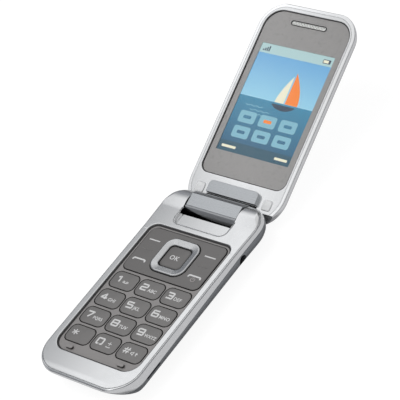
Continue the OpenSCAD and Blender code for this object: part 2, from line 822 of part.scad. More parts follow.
module function_plate() {
    color("#6f6c6b") translate([0, plate_y + plate_l / 2, 0]) difference() {
        translate([0, 0, web_bottom + 0.1]) linear_extrude(key_top - web_bottom - 0.1)
            rounded(plate_w, plate_l, plate_r);
        translate([0, ring_y - plate_y - plate_l / 2, 0])
            linear_extrude(far) rounded(ring_w + 2 * key_gap, ring_l + 2 * key_gap, ring_r + key_gap);
        // faint lines between soft keys and call keys
        for (x = [-1, 1]) translate([x * soft_x, 0, key_top + 0.35]) rotate([0, 90, 0])
            cylinder(r = 0.5, h = 6.2, center = true);
    }
}

module nav_actuator() {
    color("#b8babc") translate([0, ring_y, actuator_z]) linear_extrude(actuator_top - actuator_z)
        difference() {
            rounded(ring_w - 1, ring_l - 1, ring_r - 0.4);
            rounded(ring_in + 1, ring_in + 1, ring_in_r);
        }
}

module nav_ring() {
    crown = 75;
    color("#d5d7da") translate([0, ring_y, 0]) intersection() {
        translate([0, 0, ring_bottom]) linear_extrude(far) difference() {
            rounded(ring_w, ring_l, ring_r);
            rounded(ring_in, ring_in, ring_in_r);
        }
        translate([0, 0, key_top + ring_rise - crown]) sphere(r = crown, $fn = 200);
    }
}

module ok_key() {
    size = ring_in - 2 * key_gap;
    color("#6f6c6b") translate([0, ring_y, 0]) key_body(size, size, ring_in_r - 0.2);
}

module volume_key() {
    dip_r = 2.6;
    color("#a6a9ac") difference() {
        intersection() {
            base_form(-volume_out);
            translate([-far, volume_y, volume_z]) rotate([0, 90, 0])
                linear_extrude(far - volume_in) rounded(volume_h, volume_l, 0.6);
        }
        // dip between its two ends
        translate([-base_w / 2 - dip_r, volume_y, 0]) cylinder(r = dip_r, h = far);
    }
}

// ---- Lid, in its own frame ----

function lid_half(v, in) = lid_w / 2 - in - corner(v - tip_v + lid_far_r, lid_far_r - in)
    - corner(lid_heel_r - heel_reach - v, lid_heel_r - in);
function lid_face(v, in) = let (s = min(tip_v - in - v, v + heel_reach - in) / rim_run)
    nose_n + (face_n - in - nose_n) * quarter(s, 2);
function lid_back(v, in) = nose_n + (lid_n + in - nose_n)
    * min(quarter((tip_v - in - v) / far_run, 1.7), quarter((v + heel_reach - in) / heel_run, 2));
function lid_stations(in) = concat(
    [for (k = [0:7]) let (t = 5 + 85 * k / 7) in - heel_reach + (lid_heel_r - in) * (1 - cos(t))],
    [for (k = [9:-1:0]) let (t = 4 + 86 * k / 9) tip_v - in - (lid_far_r - in) * (1 - cos(t))]);
module lid_form(in = 0) {
    share = 1 - rim_drop / lid_t;
    loft([for (v = lid_stations(in))
        section(v, side_points(lid_half(v, in), lid_face(v, in), lid_back(v, in),
            share, 0.5, lid_edge))]);
}
module lid_outline(in) {
    vs = concat([for (k = [0:12]) in - heel_reach + (lid_heel_r - in) * (1 - cos(90 * k / 12))],
        [for (k = [16:-1:0]) tip_v - in - (lid_far_r - in) * (1 - cos(90 * k / 16))]);
    right = [for (v = vs) [lid_half(v, in), v]];
    left = [for (k = [len(vs) - 1:-1:0]) [-lid_half(vs[k], in), vs[k]]];
    translate([0, 0, -far / 2]) linear_extrude(far) polygon(concat(right, left));
}

// From the lid's frame into the base's
module on_hinge() {
    translate([0, hinge_y, hinge_z]) rotate([180 - open_deg, 0, 0]) children();
}

// The hollow round the shoulders, right across the lid
module hollow() {
    along_x(hollow_r, -far / 2, far / 2);
}

// The neck's seat between the covers
module neck_seat(gap) {
    slab(-far, notch_reach + gap, face_n - lid_band_t - 0.2, far, barrel_w + 2 * gap);
}

module lid_inner_cover() {
    color("#cfd1d3") on_hinge() difference() {
        intersection() {
            lid_form();
            lid_outline(inner_in);
            slab(-far, far, inner_n, far);
        }
        translate([0, window_v, window_n - window_t]) linear_extrude(far)
            opening(window_w, window_l, window_near_r, window_far_r);
        translate([0, window_v + ledge_w, -far / 2]) linear_extrude(far)
            opening(window_w - 2 * ledge_w, window_l - 2 * ledge_w,
                window_near_r - ledge_w, window_far_r - ledge_w);
        hollow();
        neck_seat(fit);
        for (x = [-1, 1]) translate([x * bumper_x, bumper_v, 0]) {
            translate([0, 0, face_n - bumper_seat]) bar(bumper_w, bumper_w, 2, 1);
            translate([0, 0, face_n - bumper_seat - lid_screw_head]) cylinder(r = screw_head_r + 0.1, h = far);
            translate([0, 0, -far]) cylinder(r = screw_r + 0.1, h = far);
        }
    }
}

module lid_band() {
    color("#dadcde") on_hinge() difference() {
        intersection() {
            lid_form();
            slab(-far, far, face_n - lid_band_t, far);
        }
        lid_outline(lid_band_w);
        hollow();
        neck_seat(fit);
    }
}

// Wall round the hollow, which closes the lid towards the shoulders, and the screws' posts
module lid_supports() {
    intersection() {
        union() {
            along_x(hollow_r + outer_t, -far / 2, far / 2);
            for (x = [-1, 1]) translate([x * bumper_x, bumper_v, -far]) cylinder(r = post_r, h = far);
        }
        slab(0, far, lid_n + outer_t / 2, inner_n, lid_w - 2 * inner_in - 2 * outer_t);
        lid_outline(inner_in);
    }
}

module lid_outer_cover() {
    color("#bfc2c5") on_hinge() difference() {
        union() {
            difference() {
                intersection() {
                    lid_form();
                    slab(-far, far, -far, face_n - lid_band_t);
                }
                lid_form(outer_t);
            }
            lid_supports();
        }
        hollow();
        // opening for the neck
        translate([0, 0, lid_n + outer_t]) slab(-far, notch_reach + tongue, 0, far, barrel_w);
        for (x = [-1, 1]) translate([x * bumper_x, bumper_v, lid_n + outer_t]) cylinder(r = screw_r, h = far);
        translate([0, camera_v, -far]) cylinder(r = camera_r, h = far);
    }
}

module display_window() {
    color("#8f8d8c") on_hinge() translate([0, window_v, window_n - window_t]) linear_extrude(window_t)
        difference() {
            translate([0, fit]) opening(window_w - 2 * fit, window_l - 2 * fit, window_near_r, window_far_r);
            translate([0, ear_v - window_v]) rounded(ear_l, ear_w, ear_w / 2 - 0.01);
        }
}

module lcd_module() {
    color("#5aa7c7") on_hinge() translate([0, lcd_v - (lcd_foot - lcd_rim) / 2, lcd_n - lcd_t])
        bar(lcd_w + 2 * lcd_rim, lcd_l + lcd_rim + lcd_foot, lcd_t, 0.6);
}

module lid_board() {
    color("#2f6b4a") on_hinge() translate([0, lcd_v + 2, lid_board_n - lid_board_t])
        bar(lcd_w - 6, lcd_l - 4, lid_board_t, 2);
}

module earpiece_mesh() {
    color("#b9bbb8") on_hinge() translate([0, ear_v, window_n - window_t]) difference() {
        linear_extrude(window_t - 0.3) rounded(ear_l, ear_w, ear_w / 2 - 0.01);
        for (k = [0:mesh_holes - 1], row = [-1, 1])
            translate([(k - (mesh_holes - 1) / 2) * (ear_l - ear_w) / mesh_holes + row * mesh_hole_r * 1.6,
                row * ear_w / 5, -1])
                cylinder(r = mesh_hole_r, h = 2 * window_t, $fn = 16);
    }
}

module earpiece() {
    color("#26282b") on_hinge() translate([0, ear_v - 0.4, window_n - window_t - earpiece_t])
        bar(earpiece_w, earpiece_l, earpiece_t, 2);
}

// The brushed plate on the neck, which goes into the base's scoop
module neck_plate() {
    l = neck_far - neck_near;
    color("#a9acaf") on_hinge() translate([0, neck_near, face_n])
        linear_extrude(neck_h) opening(neck_w, l, 0.4, 2);
}

// The barrel between the shoulders, and the neck that carries it
module lid_knuckle() {
    color("#8d9093") on_hinge() difference() {
        union() {
            along_x(hinge_r, -barrel_w / 2, barrel_w / 2);
            difference() {
                intersection() {
                    lid_form(outer_t);
                    slab(-far, notch_reach + tongue, -far, inner_n, barrel_w);
                }
                // clear of the inner cover's edge and of the seam towards the plate
                slab(notch_reach, far, inner_n - 0.01, far);
            }
        }
        rotate([flat_dir, 0, 0]) slab(flat_reach - trim_t, far, -far / 2, far / 2);
        along_x(cartridge_r, -far / 2, cartridge_right);
        along_x(bush_r + run_fit, 0, far / 2);
        // way of the flex cable from the bore into the lid
        translate([flex_x - flex_slot, flex_r - flex_t - flex_slot, flex_n - flex_slot])
            cube([flex_w + 2 * flex_slot, flex_t + 2 * flex_slot, flex_slot - flex_n]);
        translate([flex_x - flex_slot, flex_r - flex_t - flex_slot, flex_n - flex_slot])
            cube([flex_w + 2 * flex_slot, far, flex_t + 2 * flex_slot]);
    }
}

// The flat, brushed trim on the barrel
module hinge_trim() {
    color("#b4b7ba") on_hinge() rotate([flat_dir, 0, 0])
        translate([0, flat_reach - trim_t / 2, trim_shift]) cube([barrel_w, trim_t, trim_w], center = true);
}

module hinge_cartridge() {
    color("#9a9da0") on_hinge() difference() {
        along_x(cartridge_r, cartridge_left, cartridge_right);
        along_x(shaft_r + run_fit, cartridge_left - 1, cartridge_right + 1);
        along_x(cartridge_r - cartridge_wall, cartridge_left + 0.8, cartridge_right - 0.8);
    }
}

// The cam on the shaft carries a ridge, and the follower a groove for it
module hinge_shaft() {
    color("#77797c") translate([0, hinge_y, hinge_z]) {
        along_x(shaft_r, shaft_left, shaft_right);
        along_x(cam_r, cam_x, cam_x + cam_l);
        intersection() {
            along_x(cam_r, cam_x, cam_x + cam_l + ridge_r);
            translate([cam_x + cam_l, 0, 0]) rotate([ridge_turn, 0, 0])
                cylinder(r = ridge_r, h = 2 * cam_r, center = true);
        }
    }
}

module cam_follower() {
    color("#c9a24b") on_hinge() difference() {
        along_x(cartridge_r - cartridge_wall, follower_x, follower_x + cam_l);
        along_x(shaft_r + run_fit, follower_x - 1, follower_x + cam_l + 1);
        translate([follower_x, 0, 0]) rotate([ridge_turn, 0, 0]) cylinder(r = ridge_r, h = far, center = true);
    }
}

module hinge_spring() {
    mean_r = (shaft_r + run_fit + cartridge_r - cartridge_wall) / 2;
    steps = 12 * spring_turns;
    length = spring_right - spring_left - spring_wire;
    color("#b9bcc0") on_hinge() loft([for (j = [0:steps]) let (t = 360 * spring_turns * j / steps)
        [for (k = [0:5]) let (a = -60 * k, r = mean_r + spring_wire / 2 * cos(a))
            [spring_left + spring_wire / 2 + length * j / steps + spring_wire / 2 * sin(a),
             r * cos(t), r * sin(t)]]]);
}

module hinge_bush() {
    color("#a9acaf") translate([0, hinge_y, hinge_z]) difference() {
        along_x(bush_r, bush_left, bush_right);
        along_x(bush_r - bush_wall, bush_left - 1, bush_right + 1);
    }
}

// Flex cable: rolled up in the bush, with a flat tail into the lid
module hinge_flex() {
    color("#b8763a") on_hinge() {
        difference() {
            along_x(flex_r, cartridge_right, bush_right);
            along_x(flex_r - 2 * flex_t, 0, far / 2);
        }
        translate([flex_x, flex_r - flex_t, flex_n]) cube([flex_w, flex_t, -flex_n]);
        translate([flex_x, flex_r - flex_t, flex_n]) cube([flex_w, flex_tail, flex_t]);
    }
}

module lid_bumpers() {
    color("#d9dbdc") on_hinge() for (x = [-1, 1]) translate([x * bumper_x, bumper_v, face_n - bumper_seat])
        bar(bumper_w - 2 * fit, bumper_w - 2 * fit, bumper_seat + bumper_h, 0.9);
}

module lid_screws() {
    color("#3a3c3f") on_hinge() for (x = [-1, 1])
        translate([x * bumper_x, bumper_v, face_n - bumper_seat - lid_screw_head]) {
            cylinder(r = screw_head_r, h = lid_screw_head);
            translate([0, 0, -lid_screw_l]) cylinder(r = screw_r - 0.02, h = lid_screw_l);
        }
}

module lid_magnet() {
    color("#55585b") on_hinge() translate([magnet_x, ear_v - magnet_l, window_n - window_t - magnet_t])
        bar(magnet_w, magnet_l, magnet_t, 0.3);
}

module camera_module() {
    color("#1c1d1f") on_hinge() translate([0, camera_v, camera_n]) difference() {
        bar(camera_w, camera_w, inner_n - camera_n, 0.4);
        translate([0, 0, -1]) cylinder(r = lens_r, h = 1.8);
    }
}

module camera_ring() {
    h = camera_out + outer_t;
    color("#c4c7ca") on_hinge() translate([0, camera_v, lid_n - camera_out]) difference() {
        cylinder(r = camera_r, h = h);
        translate([0, 0, -1]) cylinder(r = camera_r - camera_rim, h = 1 + h - camera_floor);
        cylinder(r = pupil_r, h = far);
    }
}

module camera_window() {
    color("#17181a") on_hinge() translate([0, camera_v, lid_n + 0.1])
        cylinder(r = camera_r - camera_rim, h = outer_t - camera_floor - 0.1);
}

KEY_NAMES = ["key_1", "key_2", "key_3", "key_4", "key_5", "key_6", "key_7", "key_8", "key_9",
    "key_star", "key_0", "key_hash"];

back_shell();
battery_cover();
battery();
battery_contacts();
sim_holder();
main_board();
shield_can();
dome_sheet();
key_mat();
keypad_frame();
front_cover();
side_band();
keypad_stoppers();
audio_jack();
usb_socket();
loudspeaker();
microphone();
vibration_motor();
antenna();
base_screws();
hinge_shaft();
hinge_bush();
for (k = [0:11]) number_key(k);
function_plate();
nav_actuator();
nav_ring();
ok_key();
volume_key();
lid_inner_cover();
lid_band();
lid_outer_cover();
display_window();
lcd_module();
lid_board();
earpiece_mesh();
earpiece();
neck_plate();
lid_knuckle();
hinge_trim();
hinge_cartridge();
cam_follower();
hinge_spring();
hinge_flex();
lid_bumpers();
lid_screws();
lid_magnet();
camera_module();
camera_ring();
camera_window();
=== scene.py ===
"""Looks of the opened clamshell phone: shells, keys, legends, display, materials, light and camera.

Lengths are in millimetres and become metres when a mesh is made. Places in the lid are given in the lid's own
frame (x, v along the lid from the hinge axis, n out of its inner face) and are then turned into place.
"""
import math

import bmesh
import bpy
import numpy as np
from mathutils import Matrix, Vector

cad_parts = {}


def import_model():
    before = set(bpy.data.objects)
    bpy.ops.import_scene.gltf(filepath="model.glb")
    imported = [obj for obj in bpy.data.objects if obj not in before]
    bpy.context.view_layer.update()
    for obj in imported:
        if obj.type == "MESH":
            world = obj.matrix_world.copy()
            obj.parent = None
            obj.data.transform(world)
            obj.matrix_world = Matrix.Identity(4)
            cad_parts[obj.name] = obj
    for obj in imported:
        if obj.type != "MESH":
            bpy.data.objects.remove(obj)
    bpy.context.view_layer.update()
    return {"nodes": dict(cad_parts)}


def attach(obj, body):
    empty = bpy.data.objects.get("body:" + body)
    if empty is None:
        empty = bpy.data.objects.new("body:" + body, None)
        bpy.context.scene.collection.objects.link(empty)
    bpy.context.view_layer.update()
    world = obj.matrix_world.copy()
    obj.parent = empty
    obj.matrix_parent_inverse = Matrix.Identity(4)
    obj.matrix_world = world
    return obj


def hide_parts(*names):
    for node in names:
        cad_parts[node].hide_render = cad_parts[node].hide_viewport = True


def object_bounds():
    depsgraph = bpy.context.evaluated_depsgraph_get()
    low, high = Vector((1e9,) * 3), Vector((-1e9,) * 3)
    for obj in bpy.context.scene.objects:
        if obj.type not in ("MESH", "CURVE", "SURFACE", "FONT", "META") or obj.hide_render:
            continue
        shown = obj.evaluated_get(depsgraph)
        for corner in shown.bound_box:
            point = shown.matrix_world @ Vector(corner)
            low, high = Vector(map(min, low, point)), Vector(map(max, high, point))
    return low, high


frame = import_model()

MM = 0.001
FAR = 200.0

# ---- Sizes of the base ----
BASE_LEN, BASE_W, DECK_Z = 99.8, 48.6, 9.65
SKIN_W, SKIN_FRONT = BASE_W + 0.3, -BASE_LEN / 2 - 0.5
FRONT_R, SHOULDER_R = 12.0, 10.8
DECK_EDGE, SHOULDER_EDGE, BACK_EDGE = 0.9, 3.2, 7.2
CHIN_RUN, NOSE_RUN, NOSE_DROP = 9.0, 3.4, 2.1
BAND_W, SEAM, FIT = 0.9, 0.1, 0.1
PARTING_FRONT, PARTING_BACK = 5.4, 7.6
DECK_T, SHELL_T, COVER_T = 1.1, 1.4, 0.85
HINGE_R, OPEN_DEG = 5.9, 157.13
NOTCH_W, NOTCH_REACH = 26.4, 7.3
MID_SHARE = 0.62
SHAFT_R, SHAFT_LEFT, BUSH_R, BUSH_RIGHT = 1.5, 6.8 - BASE_W / 2, 2.6, BASE_W / 2 - 5.9
FRONT_Y, BACK_Y = -BASE_LEN / 2, BASE_LEN / 2
HINGE_Y, HINGE_Z = BACK_Y - HINGE_R, HINGE_R
RISE_Y, CREST_Y, CREST_Z = HINGE_Y - 6.6, HINGE_Y - 1.0, 10.95
SWELL, SWELL_FROM, SWELL_TO = 0.35, HINGE_Y - 20, HINGE_Y - 5
NOTCH_Y = HINGE_Y - NOTCH_REACH
CHAMBER_Y = NOTCH_Y - 1.5
NOSE_Z = DECK_Z - NOSE_DROP
SKIRT_IN = BAND_W + SEAM

# ---- Keypad ----
STRIP_W = 2.4
PAD_W = BASE_W - 2 * SKIRT_IN - 2 * STRIP_W
WEB_X, WEB_Y, PAD_FRONT, PAD_BACK = 1.1, 1.68, 5.15, 1.6
KEY_W, KEY_L, KEY_R = 12.1, 8.0, 2.4
PLATE_L, PLATE_R = 22.9, 2.8
PAD_L = PAD_FRONT + 4 * KEY_L + 4 * WEB_Y + PLATE_L + PAD_BACK
PAD_Y = FRONT_Y + 9.55
PAD_NEAR_R, PAD_FAR_R = 6.0, 4.0
KEY_Y = PAD_Y + PAD_FRONT + KEY_L / 2
PITCH_X, PITCH_Y = KEY_W + WEB_X, KEY_L + WEB_Y
PLATE_Y = PAD_Y + PAD_FRONT + 4 * PITCH_Y
PLATE_W = PAD_W - 2 * PAD_BACK
PLATE_MID = PLATE_Y + PLATE_L / 2
RING_Y, RING_W, RING_IN, RING_R, RING_IN_R = PLATE_MID + 0.25, 17.1, 11.2, 4.6, 2.0
RING_L = RING_W + 0.4
KEY_TOP = DECK_Z - 0.58
WEB_Z = DECK_Z - 0.9
WEB_T = 0.8
KEY_GAP = 0.33
FLANGE_W = 0.35
FLANGE_TOP = WEB_Z - WEB_T - 0.3
FLANGE_BOTTOM = FLANGE_TOP - 0.4
SOFT_X = PLATE_W / 2 - 5.05
STOPPER_X, STOPPER_W, STOPPER_L = 13.1, 3.3, 1.5
KEY_CROWN, RING_SLOPE = 90.0, 0.16

# ---- Battery bay, sockets, side key ----
BAY_NEAR = FRONT_Y + 14.5
BAY_FAR = BAY_NEAR + 43 + 2.6
BAY_TOP = COVER_T + 3.8 + 0.15
BOARD_Z = 5.28
BAY_W = BASE_W - 2 * 8.3 + 0.3
COVER_NEAR, COVER_FAR, COVER_SIDE_Z = BAY_NEAR - 4, BAY_FAR + 18, 1.6
JACK_Y, JACK_Z, JACK_R, JACK_RIGHT = CHAMBER_Y - 8.6, 4.6, 1.8, BASE_W / 2 - 2.1
USB_Y, USB_Z, USB_W, USB_H = CHAMBER_Y - 8.2, 3.93, 7.0, 1.9
VOLUME_Y, VOLUME_L, VOLUME_H, VOLUME_Z = 8.0, 12.0, 1.6, 7.75
VOLUME_IN = PAD_W / 2 + 0.9
SCREW_X = BASE_W / 2 - 6.9
SCREW_PLACES = [(3.4 - SCREW_X, FRONT_Y + 6.2), (SCREW_X - 3.4, FRONT_Y + 6.2),
                (-SCREW_X, CHAMBER_Y - 2.4), (SCREW_X, CHAMBER_Y - 2.4)]
NAIL_Y = FRONT_Y + 16.7

# ---- Lid ----
LID_W, LID_T, LID_GAP, LID_EDGE = 48.5, 6.8, 0.5, 9.0
HEEL_REACH, LID_FAR_R, LID_HEEL_R = 1.0, 11.8, 14.0
LID_BAND_W, LID_BAND_T, INNER_T, OUTER_T = 1.6, 1.85, 1.6, 1.0
FACE_N = -(DECK_Z + LID_GAP - HINGE_Z)
TIP_V = HINGE_Y - FRONT_Y - 0.2
LID_N = FACE_N - LID_T
NOSE_N = FACE_N - 1.0
INNER_IN = LID_BAND_W + SEAM
INNER_N = FACE_N - INNER_T
HOLLOW_R = HINGE_R + 0.95
WINDOW_V, WINDOW_W = 15.75, 43.2
WINDOW_L = TIP_V - 3.2 - WINDOW_V
WINDOW_NEAR_R, WINDOW_FAR_R = 4.0, 8.0
WINDOW_N, WINDOW_T = FACE_N - 0.45, 0.7
LCD_W, LCD_L = 37.1, 48.8
LCD_V = WINDOW_V + 0.412 * (WINDOW_L - LCD_L) + LCD_L / 2
EAR_V, EAR_L, EAR_W = WINDOW_V + WINDOW_L - 4.45, 17.4, 1.7
BARREL_W = NOTCH_W - 0.6
NECK_W, NECK_NEAR, NECK_FAR, NECK_H = 25.2, NOTCH_REACH + 0.2, 12.9, 1.7
SCOOP_FAR = NECK_FAR + 0.5
SCOOP_DEPTH = NECK_H - LID_GAP + 0.35
CARTRIDGE_R, CARTRIDGE_RIGHT = 3.0, -BARREL_W / 2 + 0.56 * BARREL_W
BUMPER_W, BUMPER_X, BUMPER_V, BUMPER_SEAT = 4.4, 17.2, 8.9, 0.4
TONGUE = 1.5
CABLE_LEFT, CABLE_RIGHT = 3.35, 9.98
FLAT_REACH, FLAT_DIR, TRIM_T, TRIM_W, TRIM_SHIFT = 4.93, 81.9, 0.5, 5.7, -0.35
CAMERA_V, CAMERA_R, CAMERA_RIM, CAMERA_OUT = 16.0, 4.6, 1.1, 0.25

LID_TURN = math.radians(180 - OPEN_DEG)
TO_LID = Matrix.Translation((0, HINGE_Y, HINGE_Z)) @ Matrix.Rotation(LID_TURN, 4, "X")


# ---- Meshes from arrays ----

def put(name, data):
    """New object with the given data, at the scene's origin."""
    thing = bpy.data.objects.new(name, data)
    bpy.context.scene.collection.objects.link(thing)
    return thing


def link(name, vertices, faces):
    """Mesh object from points in millimetres and a list of faces. A closed skin is turned so that the sum of
    the signed volumes of its faces' fans is positive, which points its faces outwards."""
    points = np.asarray(vertices, float)
    fans = np.array([(face[0], b, c) for face in faces for b, c in zip(face[1:-1], face[2:])])
    a, b, c = points[fans].transpose(1, 0, 2)
    if np.einsum("ij,ij->", a, np.cross(b, c)) < 0:
        faces = [face[::-1] for face in faces]
    mesh = bpy.data.meshes.new(name)
    mesh.from_pydata((points * MM).tolist(), [], faces)
    mesh.update()
    return put(name, mesh)


def rings(name, grid, open_ends=False, wrap_rows=False):
    """Skin over rows of closed rings: grid[row, column] is a point; column n joins column 0. The first and last
    row are closed with a cap, or with wrap_rows the last row joins the first."""
    rows, columns = grid.shape[:2]
    j, k = np.meshgrid(np.arange(rows if wrap_rows else rows - 1), np.arange(columns), indexing="ij")
    a = j * columns + k
    b = j * columns + (k + 1) % columns
    c = ((j + 1) % rows) * columns + (k + 1) % columns
    d = ((j + 1) % rows) * columns + k
    faces = np.stack([a, b, c, d], -1).reshape(-1, 4).tolist()
    if not wrap_rows and not open_ends:
        faces.append(list(range(columns))[::-1])
        faces.append([(rows - 1) * columns + i for i in range(columns)])
    return link(name, grid.reshape(-1, 3), faces)


def arc(steps):
    """Angles from 0 to a right angle."""
    return np.radians(np.linspace(0, 90, steps + 1))


def level(points, z):
    """Flat points at one height, or at the heights that a function gives for them."""
    return np.column_stack([points, z(points) if callable(z) else np.full(len(points), z)])


def flared(r, z, high, steps=6):
    """Levels of a cutter with a rounded mouth: out over a quarter circle of radius r ending at z, then up."""
    return [(r * (1 - math.cos(q)), z - r + r * math.sin(q)) for q in arc(steps)] + [(r, high)]


def domed(r, z, steps=4, out=0.0):
    """Levels of a rounded top edge: in over a quarter circle of radius r that ends at z."""
    return [(out - r * (1 - math.cos(q)), z - r * (1 - math.sin(q))) for q in arc(steps)]


def outline(corners, steps=12):
    """Closed outline through rounded corners, given as (x, y, radius, from angle): each corner is a quarter
    circle of that radius round (x, y), starting at that angle; straight runs join them."""
    t = np.linspace(0, math.pi / 2, steps + 1)
    parts = [np.stack([x + r * np.cos(a + t), y + r * np.sin(a + t)], 1) for x, y, r, a in corners]
    return np.concatenate(parts)


def rounded(w, l, r, x=0.0, y=0.0, steps=12):
    """Rounded rectangle w by l round (x, y), as a function of how far it is drawn outwards."""
    def at(out):
        a, b, q = w / 2 - r, l / 2 - r, max(r + out, 0.01)
        return outline([(x + a, y + b, q, 0), (x - a, y + b, q, math.pi / 2),
                        (x - a, y - b, q, math.pi), (x + a, y - b, q, 1.5 * math.pi)], steps)
    return at


def opening(w, l, r_near, r_far, y=0.0, steps=12):
    """Rounded rectangle from y to y + l with its own radii at both ends, as a function of how far it is
    drawn outwards."""
    def at(out):
        n, f = max(r_near + out, 0.01), max(r_far + out, 0.01)
        a, b, near, far = w / 2 - r_near, w / 2 - r_far, y + r_near, y + l - r_far
        return outline([(b, far, f, 0), (-b, far, f, math.pi / 2),
                        (-a, near, n, math.pi), (a, near, n, 1.5 * math.pi)], steps)
    return at


def stack(name, at, levels):
    """Solid over an outline: each level (out, z) is the outline drawn outwards by out, at height z."""
    return rings(name, np.stack([level(at(out), z) for out, z in levels]))


def prism(name, ring):
    """Endless upright block over a ring."""
    return rings(name, np.stack([level(ring, z) for z in (-FAR, FAR)]))


def box(name, low, high):
    """Rectangular cutter between two corners."""
    (x0, y0, z0), (x1, y1, z1) = low, high
    square = np.array([[x0, y0], [x1, y0], [x1, y1], [x0, y1]], float)
    return rings(name, np.stack([level(square, z) for z in (z0, z1)]))


def slab(name, y0, y1, z0, z1, w=FAR):
    return box(name, (-w / 2, y0, z0), (w / 2, y1, z1))


def rod(name, r, x0, x1, y=0.0, z=0.0, steps=96, edge=0.0):
    """Cylinder along x: circles of radius r, at each end rounded off by a quarter circle of radius edge."""
    t = np.linspace(0, 2 * math.pi, steps, endpoint=False)
    end = [(edge * (1 - math.sin(q)), r - edge * (1 - math.cos(q))) for q in arc(5)] if edge else [(0, r)]
    levels = [(x0 + depth, q) for depth, q in end[::-1]] + [(x1 - depth, q) for depth, q in end]
    grid = np.stack([np.column_stack([np.full(steps, x), y + q * np.cos(t), z + q * np.sin(t)])
                     for x, q in levels])
    return rings(name, grid)


def lathe(name, profile, x=0.0, y=0.0, steps=72, closed=False):
    """Turned piece round an upright axis: profile is a row of (radius, height); closed joins its ends."""
    t = np.linspace(0, 2 * math.pi, steps, endpoint=False)
    grid = np.stack([np.column_stack([x + r * np.cos(t), y + r * np.sin(t), np.full(steps, z)])
                     for r, z in profile])
    return rings(name, grid, wrap_rows=closed)


def tube(name, path, r, sides=10):
    """Round bead along a closed path: circles of radius r in the plane of the path's normal and the upright."""
    tangent = np.roll(path, -1, 0) - np.roll(path, 1, 0)
    side = np.cross(tangent, [0, 0, 1.0])
    side /= np.linalg.norm(side, axis=1)[:, None]
    up = np.cross(side, tangent)
    up /= np.linalg.norm(up, axis=1)[:, None]
    a = np.linspace(0, 2 * math.pi, sides, endpoint=False)
    a = a[None, :, None]
    grid = path[:, None] + r * (np.cos(a) * side[:, None] + np.sin(a) * up[:, None])
    return rings(name, grid, wrap_rows=True)


def bake(piece):
    """The piece's modifiers become its mesh."""
    graph = bpy.context.evaluated_depsgraph_get()
    mesh = bpy.data.meshes.new_from_object(piece.evaluated_get(graph))
    old = piece.data
    piece.modifiers.clear()
    piece.data = mesh
    bpy.data.meshes.remove(old)
    return piece


def shape(piece, how, *tools):
    """Union, difference or intersection with each tool in turn, which is then thrown away."""
    for tool in tools:
        step = piece.modifiers.new(how.lower(), "BOOLEAN")
        step.operation = how
        step.solver = "EXACT"
        step.object = tool
    bake(piece)
    for tool in tools:
        mesh = tool.data
        bpy.data.objects.remove(tool)
        bpy.data.meshes.remove(mesh)
    return piece


def cut(piece, *tools):
    return shape(piece, "DIFFERENCE", *tools)


def keep(piece, *tools):
    return shape(piece, "INTERSECT", *tools)


def join(piece, *tools):
    return shape(piece, "UNION", *tools)


def smooth(piece, degrees=32):
    """Smooth shading with hard edges where two faces meet at more than the given angle; each corner's normal
    is the mean of its faces' normals by area, so that a large flat stays flat and its rounded rim bends."""
    mesh = piece.data
    mesh.polygons.foreach_set("use_smooth", np.ones(len(mesh.polygons), bool))
    mesh.set_sharp_from_angle(angle=math.radians(degrees))
    mesh.update()
    weigh = piece.modifiers.new("weigh", "WEIGHTED_NORMAL")
    weigh.keep_sharp = True
    weigh.weight = 50
    return bake(piece)


def to_lid(piece):
    """From the lid's frame into place."""
    turn = Matrix.Scale(MM, 4) @ TO_LID @ Matrix.Scale(1 / MM, 4)
    piece.data.transform(turn)
    piece.data.update()
    return piece


def wear(piece, body, material, slot, *nodes, degrees=32):
    """The finished piece gets its shading and material, rides on its body and stands for the given nodes."""
    smooth(piece, degrees)
    piece.data.materials.clear()
    piece.data.materials.append(material)
    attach(piece, body)
    if nodes:
        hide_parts(*nodes)
    return piece


# ---- Forms of base and lid ----

def quarter(s, q):
    """Quarter of a superellipse, from 0 at s = 0 to 1 at s = 1."""
    s = np.clip(s, 0, 1)
    return (1 - (1 - s) ** q) ** (1 / q)


def corner(d, r):
    """How far a corner of radius r narrows an outline at depth d into that corner."""
    d = np.clip(d, 0, r)
    return r - np.sqrt(r * r - d * d)


def form(name, stations, half, top, bottom, share, top_edge, bottom_edge, top_steps=12, side_steps=30):
    """Loft over cross-sections: at each station the side runs from the top face over a quarter ellipse down to
    the widest line, which lies at the given share of the height, and on over a second one to the bottom."""
    u = np.radians(np.linspace(90, 0, top_steps + 1))
    d = np.radians(np.linspace(0, 90, side_steps + 1))[1:]
    w, zt, zb = (a[:, None] for a in (half, top, bottom))
    mid = zb + (zt - zb) * share
    reach = np.minimum(bottom_edge, 0.9 * w)
    top_edge = np.minimum(top_edge, 0.9 * w)
    x = np.concatenate([w - top_edge * (1 - np.cos(u)), w - reach * (1 - np.cos(d))], 1)
    z = np.concatenate([mid + (zt - mid) * np.sin(u), mid - (mid - zb) * np.sin(d)], 1)
    x = np.concatenate([x, -x[:, ::-1]], 1)
    z = np.concatenate([z, z[:, ::-1]], 1)
    y = np.broadcast_to(stations[:, None], x.shape)
    return rings(name, np.stack([x, y, z], -1))


def rise_share(y):
    return (1 - np.cos(np.pi * np.clip((y - RISE_Y) / (CREST_Y - RISE_Y), 0, 1))) / 2


def base_half(y, inset=0.0):
    """Half width: straight sides that swell by a cosine step towards the shoulders, and round corners."""
    swell = SWELL * (1 - np.cos(np.pi * np.clip((y - SWELL_FROM) / (SWELL_TO - SWELL_FROM), 0, 1))) / 2
    return (SKIN_W / 2 + swell - inset - corner(SKIN_FRONT + FRONT_R - y, FRONT_R - inset)
            - corner(y - BACK_Y + SHOULDER_R, SHOULDER_R - inset))


